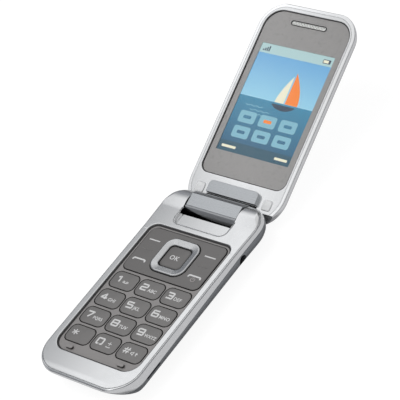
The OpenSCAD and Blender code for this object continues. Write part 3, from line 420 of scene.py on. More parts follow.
def base_top(y, inset=0.0):
    """Flat deck, a rounding at the front end, a cosine rise to a crest and from there a quarter ellipse down to
    the hinge axis' height at the far end."""
    fall = np.clip((y - CREST_Y) / (BACK_Y - inset - CREST_Y), 0, 1)
    nose = NOSE_Z + (DECK_Z - inset - NOSE_Z) * quarter((y - SKIN_FRONT - inset) / NOSE_RUN, 2)
    return np.where(y > CREST_Y, HINGE_Z + (CREST_Z - inset - HINGE_Z) * np.sqrt(1 - fall ** 2),
                    nose + (CREST_Z - DECK_Z) * rise_share(y))


def base_bottom(y, inset=0.0):
    """Flat back, a raked chin at the front end and a round shoulder at the hinge."""
    round_z = np.sqrt(np.maximum(0, (HINGE_R - inset) ** 2 - (y - HINGE_Y) ** 2))
    chin = NOSE_Z + (inset - NOSE_Z) * quarter((y - SKIN_FRONT - inset) / CHIN_RUN, 1.25)
    return np.where(y > HINGE_Y, HINGE_Z - round_z, chin)


def base_edge(y):
    """Reach of the upper rounding: small along the deck, then growing with the 1.6th power of the rise to the
    wide one of the shoulders, so that the side's outline stays smooth while the top climbs."""
    return DECK_EDGE + (SHOULDER_EDGE - DECK_EDGE) * rise_share(y) ** 1.6


def base_form(name, inset=0.0):
    front = SKIN_FRONT + inset + (FRONT_R - inset) * (1 - np.cos(np.radians(np.linspace(2.5, 90, 34))))
    rise = np.linspace(SWELL_FROM, HINGE_Y, 44)[:-1]
    back = HINGE_Y + (HINGE_R - inset) * np.sin(np.radians(np.linspace(0, 87, 30)))
    y = np.concatenate([front, rise, back])
    return form(name, y, base_half(y, inset), base_top(y, inset), base_bottom(y, inset),
                MID_SHARE, base_edge(y)[:, None], BACK_EDGE)


def both_sides(x, y):
    """Closed outline from its right half."""
    return np.concatenate([np.column_stack([x, y]), np.column_stack([-x[::-1], y[::-1]])])


def base_ring(inset):
    """Outline of the base seen from above, drawn in by inset, from the front end round to it again."""
    t = np.radians(np.linspace(0, 90, 40))
    y = np.concatenate([SKIN_FRONT + inset + (FRONT_R - inset) * (1 - np.cos(t)),
                        np.linspace(SKIN_FRONT + FRONT_R, SWELL_FROM, 8)[1:-1],
                        np.linspace(SWELL_FROM, BACK_Y - SHOULDER_R, 28)[:-1],
                        BACK_Y - inset - (SHOULDER_R - inset) * (1 - np.sin(t))])
    return both_sides(base_half(y, inset), y)


def base_prism(name, inset):
    return prism(name, base_ring(inset))


def parting(y):
    return PARTING_FRONT + (PARTING_BACK - PARTING_FRONT) * (y - FRONT_Y) / BASE_LEN


def half_space(name, height, above):
    """Everything above or below a plane across the base that slopes along it."""
    ends = np.array([[-FAR, height(-FAR)], [FAR, height(FAR)]])
    edge = FAR if above else -FAR
    loop = np.array([ends[0], ends[1], [FAR, edge * 2], [-FAR, edge * 2]])
    grid = np.stack([np.column_stack([np.full(4, x), loop]) for x in (-FAR, FAR)])
    return rings(name, grid)


def lid_half(v, inset=0.0):
    return (LID_W / 2 - inset - corner(v - TIP_V + LID_FAR_R, LID_FAR_R - inset)
            - corner(LID_HEEL_R - HEEL_REACH - v, LID_HEEL_R - inset))


def lid_back(v, inset=0.0):
    return NOSE_N + (LID_N + inset - NOSE_N) * np.minimum(
        quarter((TIP_V - inset - v) / 10, 1.7), quarter((v + HEEL_REACH - inset) / 7, 2))


def lid_form(name, inset=0.0):
    """Flat inner face with a small rounding at both ends; the outer face curls up at the tip and the heel."""
    heel = inset - HEEL_REACH + (LID_HEEL_R - inset) * (1 - np.cos(np.radians(np.linspace(3, 90, 34))))
    tip = TIP_V - inset - (LID_FAR_R - inset) * (1 - np.cos(np.radians(np.linspace(90, 2.5, 34))))
    v = np.concatenate([heel, tip])
    s = np.minimum(TIP_V - inset - v, v + HEEL_REACH - inset) / 0.7
    face = NOSE_N + (FACE_N - inset - NOSE_N) * quarter(s, 2)
    return form(name, v, lid_half(v, inset), face, lid_back(v, inset), 1 - 1.0 / LID_T, 0.5, LID_EDGE)


def lid_ring(inset):
    """Outline of the lid, drawn in by inset."""
    heel = inset - HEEL_REACH + (LID_HEEL_R - inset) * (1 - np.cos(np.radians(np.linspace(0, 90, 30))))
    tip = TIP_V - inset - (LID_FAR_R - inset) * (1 - np.cos(np.radians(np.linspace(90, 0, 40))))
    v = np.concatenate([heel, tip])
    return both_sides(lid_half(v, inset), v)


def lid_prism(name, inset):
    return prism(name, lid_ring(inset))


# ---- Materials: every one reads Object coordinates, in metres ----

def rgb(r, g, b):
    """Colour as seen on a screen, 0 to 255, in linear light."""
    v = np.array([r, g, b]) / 255.0
    v = np.where(v <= 0.04045, v / 12.92, ((v + 0.055) / 1.055) ** 2.4)
    return (*map(float, v), 1.0)


class Nodes:
    """A node tree. add() makes a node, sets its properties and fills its inputs, each with a value or with
    another node's output; it returns the node's outputs."""

    def __init__(self, tree):
        self.tree = tree

    def fill(self, node, inputs):
        for key, value in inputs.items():
            if isinstance(value, bpy.types.NodeSocket):
                self.tree.links.new(value, node.inputs[key])
            else:
                node.inputs[key].default_value = value

    def add(self, kind, inputs=(), **settings):
        node = self.tree.nodes.new("ShaderNode" + kind)
        for key, value in settings.items():
            setattr(node, key, value)
        self.fill(node, dict(inputs))
        return node.outputs

    def ramp(self, fac, *stops):
        """Colours between stops, each a place and a colour."""
        node = self.tree.nodes.new("ShaderNodeValToRGB")
        elements = node.color_ramp.elements
        for element, (at, colour) in zip(elements, (stops[0], stops[-1])):
            element.position, element.color = at, colour
        for at, colour in stops[1:-1]:
            elements.new(at).color = colour
        self.fill(node, {"Fac": fac})
        return node.outputs["Color"]

    def pick(self, fac, first, second):
        """One shader or the other."""
        return self.add("MixShader", {"Fac": fac, 1: first, 2: second})[0]


class Finish(Nodes):
    """One material with its main shader."""

    def __init__(self, name, colour, rough=0.6, metallic=0.0, coat=0.0, coat_rough=0.1):
        self.material = bpy.data.materials.new(name)
        self.material.use_nodes = True
        self.material.diffuse_color = colour
        super().__init__(self.material.node_tree)
        self.shader = self.tree.nodes["Principled BSDF"]
        self.colour, self.normal = colour, None
        self.set({"Base Color": colour, "Roughness": rough, "Metallic": metallic,
                  "Coat Weight": coat, "Coat Roughness": coat_rough})

    def set(self, inputs):
        self.fill(self.shader, inputs)

    def show(self, shader):
        """Puts another shader in place of the main one."""
        self.tree.nodes.remove(self.shader)
        self.fill(self.tree.nodes["Material Output"], {"Surface": shader})
        return self.material

    def place(self, scale=(1, 1, 1), turn=(0, 0, 0)):
        """Object coordinates, stretched and turned."""
        where = self.add("TexCoord")["Object"]
        return self.add("Mapping", {"Vector": where, "Scale": scale, "Rotation": turn})[0]

    def axes(self, turn=(0, 0, 0)):
        return self.add("SeparateXYZ", {0: self.place(turn=turn)})

    def calc(self, operation, *values):
        return self.add("Math", enumerate(values), operation=operation)[0]

    def reach(self, operation, *values):
        """Sum on places instead of numbers."""
        return self.add("VectorMath", enumerate(values), operation=operation)

    def mix(self, fac, first, second, blend="MIX"):
        return self.add("MixRGB", {"Fac": fac, "Color1": first, "Color2": second}, blend_type=blend)[0]

    def noise(self, scale, detail=2.0, stretch=(1, 1, 1), turn=(0, 0, 0)):
        where = self.place(stretch, turn)
        return self.add("TexNoise", {"Vector": where, "Scale": scale, "Detail": detail})["Fac"]

    def spread(self, fac, low, high, low_at=0.3, high_at=0.7):
        """Stretches a value between two places to another range."""
        return self.add("MapRange", {"Value": fac, "From Min": low_at, "From Max": high_at,
                                     "To Min": low, "To Max": high})[0]

    def tint(self, fac, low, high):
        """Base colour between two multiples of the plain colour."""
        shade = self.ramp(fac, (0.3, times(self.colour, low)), (0.7, times(self.colour, high)))
        self.set({"Base Color": shade})
        return shade

    def rough(self, fac, low, high):
        self.set({"Roughness": self.spread(fac, low, high)})

    def bend(self, normal):
        self.normal = normal
        self.set({"Normal": normal})

    def bump(self, height, strength, distance):
        inputs = {"Height": height, "Strength": strength, "Distance": distance, "Normal": self.normal}
        self.bend(self.add("Bump", inputs)[0])

    def soft_edges(self, radius):
        """Rounds the look of sharp edges by a radius in metres."""
        self.bend(self.add("Bevel", {"Radius": radius}, samples=6)[0])


def times(colour, share):
    """A colour made lighter or darker, up to full light."""
    return tuple(min(1.0, c * share) for c in colour[:3]) + (1.0,)


def grey(share):
    return (share, share, share, 1)


def paint(name, colour, rough=0.2, metallic=0.85, flake=0.03, coat=0.25, shaded_notch=False):
    """Silver paint: fine bright and dark flakes, broad faint unevenness, a clear coat and soft edges. With the
    notch flag set, the walls between the shoulders get painted shade, near black: x within the notch, y behind
    its front wall."""
    f = Finish(name, colour, rough, metallic, coat, 0.12)
    f.soft_edges(0.00012)
    shade = f.tint(f.noise(9000, 1.0), 1 - flake, 1 + flake)
    if shaded_notch:
        x, y, _ = f.axes()
        inner = f.calc("LESS_THAN", f.calc("ABSOLUTE", x), (NOTCH_W / 2 + 0.04) * MM)
        behind = f.calc("GREATER_THAN", y, (NOTCH_Y - 0.04) * MM)
        # painted shade: near black on the notch walls between the shoulders, where shadow falls
        f.set({"Base Color": f.mix(f.calc("MULTIPLY", inner, behind), shade, (0.006, 0.006, 0.007, 1))})
    f.rough(f.noise(260, 4.0), rough - 0.02, rough + 0.02)
    f.bump(f.noise(9000, 1.0), 0.05, 0.000002)
    return f.material


def plastic(name, colour, rough=0.45, grain=2600, depth=0.00001, edge=0.0001, coat=0.0, vary=0.06):
    """Moulded plastic: fine grain in the surface and a slightly uneven sheen."""
    f = Finish(name, colour, rough, 0.0, coat, 0.2)
    f.soft_edges(edge)
    f.tint(f.noise(420, 4.0), 1 - vary, 1 + vary)
    f.rough(f.noise(700, 3.0), rough - 0.05, rough + 0.06)
    f.bump(f.noise(grain, 2.0), 0.25, depth)
    return f.material


def brushed(name, colour, rough=0.28, across=60, lines=5200, vary=0.10, depth=1e-5):
    """Brushed metal: long fine scratches along x."""
    f = Finish(name, colour, rough, 0.9)
    f.soft_edges(0.00012)
    scratch = f.noise(1.0, 3.0, (across, lines, lines))
    f.tint(scratch, 1 - vary, 1 + vary)
    f.rough(scratch, rough - 0.07, rough + 0.10)
    f.bump(scratch, 0.2, depth)
    return f.material


def shaded_barrel_finish(name, colour):
    """Metal of the hinge barrel with painted shade: black below a height of 6.8 mm on the right, which climbs to
    9.6 mm at the left end with the 1.5th power of the way there, for the shadow in the undercut by the notch's
    wall."""
    f = Finish(name, colour, 0.3, 0.7, 0.2)
    x, _, z = f.axes()
    climb = f.calc("POWER", f.spread(x, 0.0, 1.0, 0.006, -0.013), 1.5)
    above = f.calc("SUBTRACT", z, f.spread(climb, 0.0068, 0.0096, 0.0, 1.0))
    lit_share = f.spread(above, 0.0, 1.0, -0.00015, 0.00025)
    shade = f.tint(f.noise(9000, 1.0), 0.97, 1.03)
    # painted shade: near black where the barrel lies in the undercut's shadow
    f.set({"Base Color": f.mix(lit_share, (0.004, 0.004, 0.005, 1), shade)})
    f.rough(f.noise(260, 4.0), 0.28, 0.33)
    return f.material


def lacquer_with_shaded_sides(name, colour, shade_under, rough=0.36):
    """Satin lacquer: a fine fleck on the top, and painted shade: sides darkened below the given height, for the
    shade in the gaps round keys and openings.
    """
    f = Finish(name, colour, rough, 0.15, 0.12, 0.25)
    f.soft_edges(0.00008)
    top_share = f.spread(f.axes()[2], 0.0, 1.0, (shade_under - 0.2) * MM, shade_under * MM)
    top = f.mix(1.0, colour, f.spread(f.noise(8000, 1.0), 0.95, 1.05), "MULTIPLY")
    # painted shade: below the given height the colour falls to 0.12 of itself
    f.set({"Base Color": f.mix(top_share, times(colour, 0.12), top)})
    f.rough(f.noise(500, 3.0), rough - 0.04, rough + 0.06)
    f.bump(f.noise(5000, 2.0), 0.12, 0.00001)
    return f.material


def lit(name, colour, strength=1.0, other=None, low_v=0.0, high_v=1.0):
    """Lit picture area: mostly its own light, with a fine grid of picture points. With another colour, it runs
    along the lid from this one at low_v to the other at high_v."""
    f = Finish(name, times(colour, 0.25), 0.35)
    turn = (-LID_TURN, 0, 0)
    shade = colour
    if other:
        start = HINGE_Y * math.cos(LID_TURN) + HINGE_Z * math.sin(LID_TURN)
        way = f.spread(f.axes(turn)[1], 0.0, 1.0, (start + low_v) * MM, (start + high_v) * MM)
        shade = f.ramp(way, (0.0, colour), (1.0, other))
    points = f.add("TexBrick", {"Vector": f.place(turn=turn), "Scale": 1.0, "Color1": shade, "Color2": shade,
                                "Mortar": times(colour, 0.86), "Brick Width": 0.000153,
                                "Row Height": 0.000153, "Mortar Size": 0.000015}, offset=0.0)[0]
    f.set({"Emission Color": points, "Emission Strength": strength})
    return f.material


def clear_glass(name):
    """Thin clear acrylic: it lets everything through and adds a reflection that grows at a flat angle."""
    f = Finish(name, (0.6, 0.6, 0.6, 0.3))
    shine = f.add("BsdfGlossy", {"Roughness": 0.04})[0]
    return f.show(f.pick(f.add("Fresnel", {"IOR": 1.28})[0], f.add("BsdfTransparent")[0], shine))


SILVER = paint("silver_paint", rgb(222, 223, 224))
# painted shade: this paint turns the notch walls between the shoulders near black
BASE_SILVER_SHADED_NOTCH = paint("base_silver_paint_shaded_notch", rgb(222, 223, 224), shaded_notch=True)
BRIGHT = paint("bright_silver_paint", rgb(238, 239, 240), 0.15, 0.9, 0.02, 0.4)
# painted shade: this paint also turns the notch walls between the shoulders near black
DARK_SILVER_SHADED_NOTCH = paint("dark_silver_paint_shaded_notch", rgb(136, 139, 143), 0.26, 0.7, shaded_notch=True)
# painted shade on the sides of the web's openings, the keys and the function plate
WEB_GREY = lacquer_with_shaded_sides("keypad_grey", rgb(150, 147, 146), WEB_Z - 0.05, 0.4)
KEY_GREY = lacquer_with_shaded_sides("key_grey", rgb(124, 122, 121), KEY_TOP - 0.26)
PLATE_GREY = lacquer_with_shaded_sides("function_plate_grey", rgb(115, 113, 112), KEY_TOP - 0.16)
RING_SILVER = brushed("ring_silver", rgb(196, 197, 198), 0.22, across=2600, lines=2600, vary=0.02, depth=1e-6)
TRIM_METAL = brushed("brushed_trim", rgb(184, 187, 190), 0.3, depth=4e-6)
# hinge barrel metal with painted shade in its undercut
BARREL_METAL_PAINTED_SHADE = shaded_barrel_finish("barrel_metal_painted_shade", rgb(152, 154, 157))
RUBBER = plastic("pale_rubber", rgb(246, 247, 248), 0.4, 1800, 0.00001)
# painted shade: dark sides round the stopper pads, for the shadow they cast
STOPPER_RUBBER = lacquer_with_shaded_sides("stopper_rubber", rgb(152, 149, 148), DECK_Z + 0.02, 0.5)
BLACK = plastic("black_plastic", rgb(24, 24, 26), 0.5)
RIM_BLACK = plastic("dark_rim", rgb(38, 37, 37), 0.45)
PRINT_GREY = plastic("window_print", rgb(168, 166, 165), 0.3, 9000, 0.000002, 0.00005, 0.25, 0.02)
LEGEND = plastic("legend_print", rgb(226, 226, 226), 0.5, 6000, 0.000002, 0.00001)
FAINT_LEGEND = plastic("faint_legend_print", rgb(178, 172, 171), 0.5, 6000, 0.000002, 0.00001)
GLASS = clear_glass("window_glass")
LENS = plastic("camera_glass", rgb(16, 17, 20), 0.08, 4000, 0.000001, 0.00005, 1.0)
STEEL = brushed("plain_steel", rgb(168, 170, 173), 0.32, across=900, lines=1600)
SCREW_STEEL = brushed("black_screw_steel", rgb(62, 63, 66), 0.35, across=1400, lines=1400)
GOLD = brushed("gold_plate", rgb(214, 176, 92), 0.26, across=1200, lines=1600)
BOARD = plastic("board_green", rgb(38, 92, 62), 0.35, 900, 0.00003, 0.0001, 0.2, 0.25)
DOME_FILM = plastic("dome_film", rgb(222, 208, 156), 0.3)
MAT_RUBBER = plastic("mat_rubber", rgb(204, 206, 208), 0.6)
WRAP = plastic("battery_wrap", rgb(50, 52, 56), 0.4)
FLEX = plastic("flex_film", rgb(196, 128, 60), 0.35)
MAGNET = brushed("magnet_plate", rgb(92, 94, 97), 0.4, across=1000, lines=1300)
MESH_METAL = brushed("mesh_metal", rgb(226, 227, 224), 0.4, across=2500, lines=2500, vary=0.25)


# ---- Shells of the base ----

def hinge_cuts():
    """Cutters for the notch, for the shaft and the bush in the shoulders, and for the cable's way."""
    return [slab("notch", NOTCH_Y, FAR, -FAR, FAR, NOTCH_W),
            rod("shaft_seat", SHAFT_R, SHAFT_LEFT, 0, HINGE_Y, HINGE_Z),
            rod("bush_seat", BUSH_R, 0, BUSH_RIGHT, HINGE_Y, HINGE_Z),
            box("cable_way", (BUSH_RIGHT - 0.1, CHAMBER_Y - 0.4, HINGE_Z - 2),
                (BUSH_RIGHT + 2.3, HINGE_Y + 2, HINGE_Z + 2))]


def sideways(piece, x, y, z):
    """Turns an upright bar along x and takes it to a place."""
    piece.data.transform(Matrix.Translation((x * MM, y * MM, z * MM)) @ Matrix.Rotation(math.pi / 2, 4, "Y"))
    return piece


def mouths():
    """Cutters for the headset socket, the charging socket and the volume key."""
    usb = stack("usb_mouth", rounded(USB_H + 1.2, USB_W + 1.2, 1.2), [(0, -5), (0, 5)])
    volume = stack("volume_slot", rounded(VOLUME_H + 0.4, VOLUME_L + 0.4, 0.8), [(0, -3), (0, 3)])
    return [rod("jack_mouth", JACK_R + 0.25, JACK_RIGHT - 1, FAR, JACK_Y, JACK_Z),
            sideways(usb, -BASE_W / 2, USB_Y, USB_Z),
            sideways(volume, -(VOLUME_IN + 2.8), VOLUME_Y, VOLUME_Z)]


def deck_height(points):
    """Height of the upper skin: level as far as the rounding, then down its quarter ellipse."""
    y = points[:, 1]
    top, bottom = base_top(y), base_bottom(y)
    mid = bottom + (top - bottom) * MID_SHARE
    out = 1 - np.clip((base_half(y) - np.abs(points[:, 0])) / base_edge(y), 0, 1)
    return mid + (top - mid) * np.sqrt(1 - out ** 2)


def groove(name, path, r):
    """Cutters for a narrow deep groove: a bead along the path and a second one under it."""
    return [tube(name, path, r), tube(name, path - (0, 0, 1.3 * r), r)]


def pad_outline():
    return opening(PAD_W, PAD_L, PAD_NEAR_R, PAD_FAR_R, PAD_Y)


def front_cover():
    piece = base_form("front_cover_shell")
    keep(piece, base_prism("skirt", SKIRT_IN), half_space("over", parting, True))
    cut(piece, stack("pad_opening", pad_outline(), [(0, 0)] + flared(0.35, DECK_Z, DECK_Z + 4)))
    floor_z = DECK_Z - SCOOP_DEPTH
    scoop = opening(NECK_W + 0.9, SCOOP_FAR - NOTCH_REACH + 2, 3.0, 0.4, HINGE_Y - SCOOP_FAR)
    r = 0.25
    cut(piece, stack("scoop", scoop, [(-r, floor_z), (0, floor_z + r)] + flared(r, DECK_Z, DECK_Z + 6)))
    hollow = keep(base_prism("hollow", SKIRT_IN + DECK_T),
                  slab("hollow_zone", FRONT_Y + NOSE_RUN + 1, CHAMBER_Y, 0, DECK_Z - DECK_T))
    tray = opening(NECK_W + 2.7, SCOOP_FAR - NOTCH_REACH + 2.9, 3.0, 0.4, HINGE_Y - SCOOP_FAR - 0.9)
    cut(hollow, stack("tray", tray, [(0, floor_z - 0.9), (0, FAR)]))
    cut(piece, hollow, *hinge_cuts(), *mouths())
    cut(piece, *groove("cover_seam", level(base_ring(SKIRT_IN - SEAM / 2), deck_height), 0.17),
        *groove("panel_groove", level(scoop(0.5), DECK_Z), 0.2))
    return wear(piece, "base", BASE_SILVER_SHADED_NOTCH, "cover_silver", "front_cover")


def side_band():
    piece = base_form("side_band_shell")
    keep(piece, half_space("over", parting, True))
    cut(piece, base_prism("band_inside", BAND_W), *hinge_cuts(), *mouths())
    cut(piece, *groove("band_seam", level(base_ring(SKIRT_IN - SEAM / 2), deck_height), 0.17))
    cut(piece, tube("parting_groove", parting_path(), 0.16))
    return wear(piece, "base", BRIGHT, "band_silver", "side_band")


def parting_path():
    """Line round the base where the sloping joint meets the outer skin: at each station the joint's height
    gives the place on the upper or the lower quarter ellipse. It starts where the chin and ends where the
    shoulder crosses the joint."""
    chin = np.linspace(SKIN_FRONT, SKIN_FRONT + CHIN_RUN, 600)
    back = np.linspace(HINGE_Y, BACK_Y, 600)
    start = chin[np.argmax(base_bottom(chin) < parting(chin))]
    end = back[np.argmax(base_top(back) < parting(back)) - 1]
    y = start + (end - start) * (1 - np.cos(np.linspace(0, math.pi, 220))) / 2
    z, top, bottom = parting(y), base_top(y), base_bottom(y)
    mid = bottom + (top - bottom) * MID_SHARE
    up = np.clip((z - mid) / (top - mid), 0, 1)
    down = np.clip((mid - z) / (mid - bottom), 0, 1)
    x = base_half(y) - base_edge(y) * (1 - np.sqrt(1 - up ** 2)) - BACK_EDGE * (1 - np.sqrt(1 - down ** 2))
    return np.concatenate([np.column_stack([x, y, z]), np.column_stack([-x, y, z])[::-1]])


def back_shell():
    piece = base_form("back_shell_form")
    keep(piece, half_space("under", parting, False))
    cover = keep(base_form("cover_skin"),
                 slab("cover_zone", COVER_NEAR - SEAM, COVER_FAR + SEAM, -1, COVER_SIDE_Z + SEAM))
    cut(cover, base_form("cover_inside", COVER_T))
    inside = keep(base_form("chambers", SHELL_T),
                  join(slab("front_room", FRONT_Y, BAY_NEAR - SHELL_T, SHELL_T, FAR),
                       slab("middle_room", BAY_NEAR - 2 * SHELL_T, BAY_FAR + 2 * SHELL_T, BOARD_Z, FAR),
                       slab("back_room", BAY_FAR + SHELL_T, CHAMBER_Y, SHELL_T, FAR)))
    for x, y in SCREW_PLACES:
        cut(inside, lathe("screw_post", [(1.9, -1), (1.9, BOARD_Z)], x, y, 48))
    bay = rounded(BAY_W, BAY_FAR - BAY_NEAR, 1.0, 0, (BAY_NEAR + BAY_FAR) / 2)
    cut(piece, cover, inside, stack("bay", bay, [(0, -1), (0, BAY_TOP)]), *hinge_cuts(), *mouths())
    for x, y in SCREW_PLACES:
        cut(piece, lathe("screw_well", [(1.45, -3), (1.45, 3.2), (0.8, 3.2), (0.8, 12)], x, y, 48))
    slots = [stack("sound_slot", rounded(0.8, 4.6, 0.39, (k - 2) * 1.8, CHAMBER_Y - 3.4),
                   [(0.15, -1), (0.15, 0.0), (0, 0.15), (0, 3)]) for k in range(5)]
    nail = stack("nail_slot", rounded(1.8, 8.4, 0.6, BASE_W / 2, NAIL_Y),
                 [(0, parting(NAIL_Y) - 0.9), (0, parting(NAIL_Y) - 0.1)])
    cut(piece, *slots, nail, tube("shell_groove", parting_path(), 0.16))
    return wear(piece, "base", DARK_SILVER_SHADED_NOTCH, "shell_silver", "back_shell")


def battery_cover():
    piece = keep(base_form("battery_cover_skin"), slab("cover_zone", COVER_NEAR, COVER_FAR, -1, COVER_SIDE_Z))
    cut(piece, base_form("cover_inside", COVER_T))
    for side in (-1, 1):
        cut(piece, rod("grip", 6.12, -7, 7, COVER_NEAR + 4 + side * 0.9, -6, 160))
    return wear(piece, "base", DARK_SILVER_SHADED_NOTCH, "shell_silver", "battery_cover")


# ---- Keypad ----

def keypad_web():
    """Web plate with rounded edges at every opening."""
    piece = stack("keypad_web", pad_outline(), [(-FIT, WEB_Z - WEB_T)] + domed(0.18, WEB_Z, out=-FIT))
    flare = [(0, 0)] + flared(0.18, WEB_Z, 12, 4)
    holes = [rounded(KEY_W + 2 * KEY_GAP, KEY_L + 2 * KEY_GAP, KEY_R + KEY_GAP, x, y) for x, y in key_places()]
    holes.append(rounded(PLATE_W + 2 * KEY_GAP, PLATE_L + 2 * KEY_GAP, PLATE_R + KEY_GAP, 0, PLATE_MID))
    cut(piece, *[stack("key_hole", hole, flare) for hole in holes])
    flange = stack("web_flange", pad_outline(), [(0.6, WEB_Z - WEB_T), (0.6, DECK_Z - DECK_T)])
    cut(flange, stack("flange_room", pad_outline(), [(-0.5, 0), (-0.5, 12)]))
    join(piece, flange)
    return wear(piece, "base", WEB_GREY, "keypad_grey", "keypad_frame")


def keypad_shade_rim():
    """Dark rim between the deck's opening and the web: partly a dark gasket, partly painted shade standing for
    the shaded gap there.
    """
    outer = opening(PAD_W - 0.04, PAD_L - 0.04, PAD_NEAR_R, PAD_FAR_R, PAD_Y + 0.02)
    inner = opening(PAD_W - 1.3, PAD_L - 1.3, PAD_NEAR_R - 0.6, PAD_FAR_R - 0.6, PAD_Y + 0.65)
    # painted shade: dark strip laid where the gap between deck and web falls in shade
    piece = annulus("keypad_shade_rim", outer, inner, WEB_Z - 0.2, WEB_Z + 0.12, 0.05, 0.08, 2)
    return wear(piece, "base", RIM_BLACK, "black_plastic")


def key_places():
    return [((k % 3 - 1) * PITCH_X, KEY_Y + (3 - k // 3) * PITCH_Y) for k in range(12)]


def crowned(name, at, x, y, low, crown=KEY_CROWN, edge=0.32, flange=0.0):
    """Pillow key: an outline that goes up from a flange, over a rounded edge and then in towards the middle in
    ever smaller copies; each point is lowered by its squared distance from the middle over twice the crown."""
    top = on_key(x, y, 0.0, crown)
    feet = [(flange, low), (flange, FLANGE_TOP), (0.0, FLANGE_TOP)] if flange else [(0.0, low)]
    rows = [level(at(out), z) for out, z in feet] + [level(at(0.0), top) - (0, 0, edge + 0.35)]
    rows += [level(at(out), top) + (0, 0, z) for out, z in domed(edge, 0.0, 6)]
    for share in (0.9, 0.75, 0.55, 0.35, 0.15, 0.02):
        rows.append(level((at(-edge) - (x, y)) * share + (x, y), top))
    return rings(name, np.stack(rows))


def annulus(name, outer, inner, low, height, edge_out, edge_in, rows_across=8):
    """Flat ring between two outlines with equal numbers of points: up the outer side, over its rounded edge,
    across in straight steps from the outer to the inner outline, and down the inner side."""
    start, end = outer(-edge_out), inner(edge_in)
    over = [level(outer(out), height) + (0, 0, z) for out, z in domed(edge_out, 0.0, 5)]
    across = [level(start + (end - start) * s, height) for s in np.linspace(0, 1, rows_across + 1)[1:-1]]
    down = [level(inner(-out), height) + (0, 0, z) for out, z in domed(edge_in, 0.0, 5)[::-1]]
    rows = [level(outer(0.0), low)] + over + across + down + [level(inner(0.0), low)]
    return rings(name, np.stack(rows), wrap_rows=True)


def function_plate():
    piece = annulus("function_plate_cap", rounded(PLATE_W, PLATE_L, PLATE_R, 0, PLATE_MID),
                    rounded(RING_W + 2 * KEY_GAP, RING_L + 2 * KEY_GAP, RING_R + KEY_GAP, 0, RING_Y),
                    WEB_Z - WEB_T + 0.1, KEY_TOP, 0.3, 0.2, 6)
    cut(piece, *[rod("soft_key_groove", 0.5, x - 3.1, x + 3.1, PLATE_MID, KEY_TOP + 0.36, 64, 0.4)
                 for x in (-SOFT_X, SOFT_X)])
    return wear(piece, "function_plate", PLATE_GREY, "key_grey", "function_plate")


def nav_ring():
    """Ring that rises outwards: by 0.16 per millimetre of the fourth root of the fourth powers' sum, which
    grows from the middle like a rounded square."""
    def height(p):
        return KEY_TOP + 0.16 + RING_SLOPE * (((p - (0, RING_Y)) ** 4).sum(1) ** 0.25 - RING_IN / 2)
    piece = annulus("nav_ring_cap", rounded(RING_W, RING_L, RING_R, 0, RING_Y),
                    rounded(RING_IN, RING_IN, RING_IN_R, 0, RING_Y), FLANGE_BOTTOM + 0.6, height, 0.55, 0.35)
    return wear(piece, "nav_ring", RING_SILVER, "ring_chrome", "nav_ring")


def ok_key():
    size = RING_IN - 2 * KEY_GAP
    piece = crowned("ok_key_cap", rounded(size, size, RING_IN_R - 0.2, 0, RING_Y), 0, RING_Y, FLANGE_BOTTOM)
    return wear(piece, "ok_key", PLATE_GREY, "key_grey", "ok_key")


def stoppers():
    pads = [stack("keypad_stopper_pads", rounded(STOPPER_W, STOPPER_L, 0.5, x, PAD_Y + 2.35),
                  [(0, WEB_Z - 0.01)] + domed(0.15, DECK_Z + 0.1)) for x in (-STOPPER_X, STOPPER_X)]
    return wear(join(*pads), "base", STOPPER_RUBBER, "keypad_grey", "keypad_stoppers")


# ---- Legends: strokes in a box from (0, 0) to (1, 1), drawn as raised ribbons ----

STROKES = {
    "1": [[(0.28, 0.80), (0.72, 1.0), (0.72, 0.0)]],
    "2": [[(0, 1), (1, 1), (1, 0.52), (0, 0.48), (0, 0), (1, 0)]],
    "3": [[(0, 1), (1, 1), (1, 0), (0, 0)], [(0.25, 0.5), (1, 0.5)]],
    "4": [[(1.05, 0.26), (-0.02, 0.26), (0.70, 1.0), (0.70, 0)]],
    "5": [[(1, 1), (0, 1), (0, 0.54), (1, 0.54), (1, 0), (0, 0)]],
    "6": [[(0.95, 1), (0, 1), (0, 0), (1, 0), (1, 0.54), (0, 0.54)]],
    "7": [[(0, 1), (1.05, 1), (0.35, 0)]],
    "8": [[(0, 0), (1, 0), (1, 1), (0, 1), (0, -0.001)], [(0, 0.5), (1, 0.5)]],
    "9": [[(1, 0.46), (0, 0.46), (0, 1), (1, 1), (1, 0), (0.05, 0)]],
    "0": [[(0.5, 0), (1, 0), (1, 1), (0, 1), (0, 0), (0.5, 0)]],
    "*": [[(0.5, 0.95), (0.5, 0.05)], [(0.06, 0.74), (0.94, 0.26)], [(0.06, 0.26), (0.94, 0.74)]],
    "#": [[(0.22, -0.02), (0.42, 1.02)], [(0.62, -0.02), (0.82, 1.02)], [(0.05, 0.68), (1.0, 0.68)],
          [(0, 0.32), (0.95, 0.32)]],
}
LETTERS = {"2": "ABC", "3": "DEF", "4": "GHI", "5": "JKL", "6": "MNO", "7": "PQRS", "8": "TUV", "9": "WXYZ"}
MARKS = {
    "1": [[(a + 0.42 * math.cos(t), 0.55 + 0.42 * math.sin(t)) for t in np.linspace(-1.5, 4.8, 14)]
          for a in (0.55, 2.2)] + [[(0.6, 0.13), (2.2, 0.13)]],
    "0": [[(1.6, 0.6), (1.6, 2.3)], [(0.75, 1.45), (2.45, 1.45)],
          [(0.75, 0.05), (0.75, -0.3), (2.45, -0.3), (2.45, 0.05)]],
    "#": [[(0.2, 0.55), (0.2, 1.15), (0.65, 1.15), (1.3, 1.6), (1.3, 0.1), (0.65, 0.55), (0.2, 0.55)],
          [(2.75, 0.1), (2.75, 1.5)], [(2.25, 0.95), (2.75, 1.55), (3.25, 0.95)]],
}
LAYOUT = ["1", "2", "3", "4", "5", "6", "7", "8", "9", "*", "0", "#"]
NODE_OF = {"*": "key_star", "#": "key_hash"}
LEGEND_SUNK, LEGEND_RAISED = -0.03, 0.012


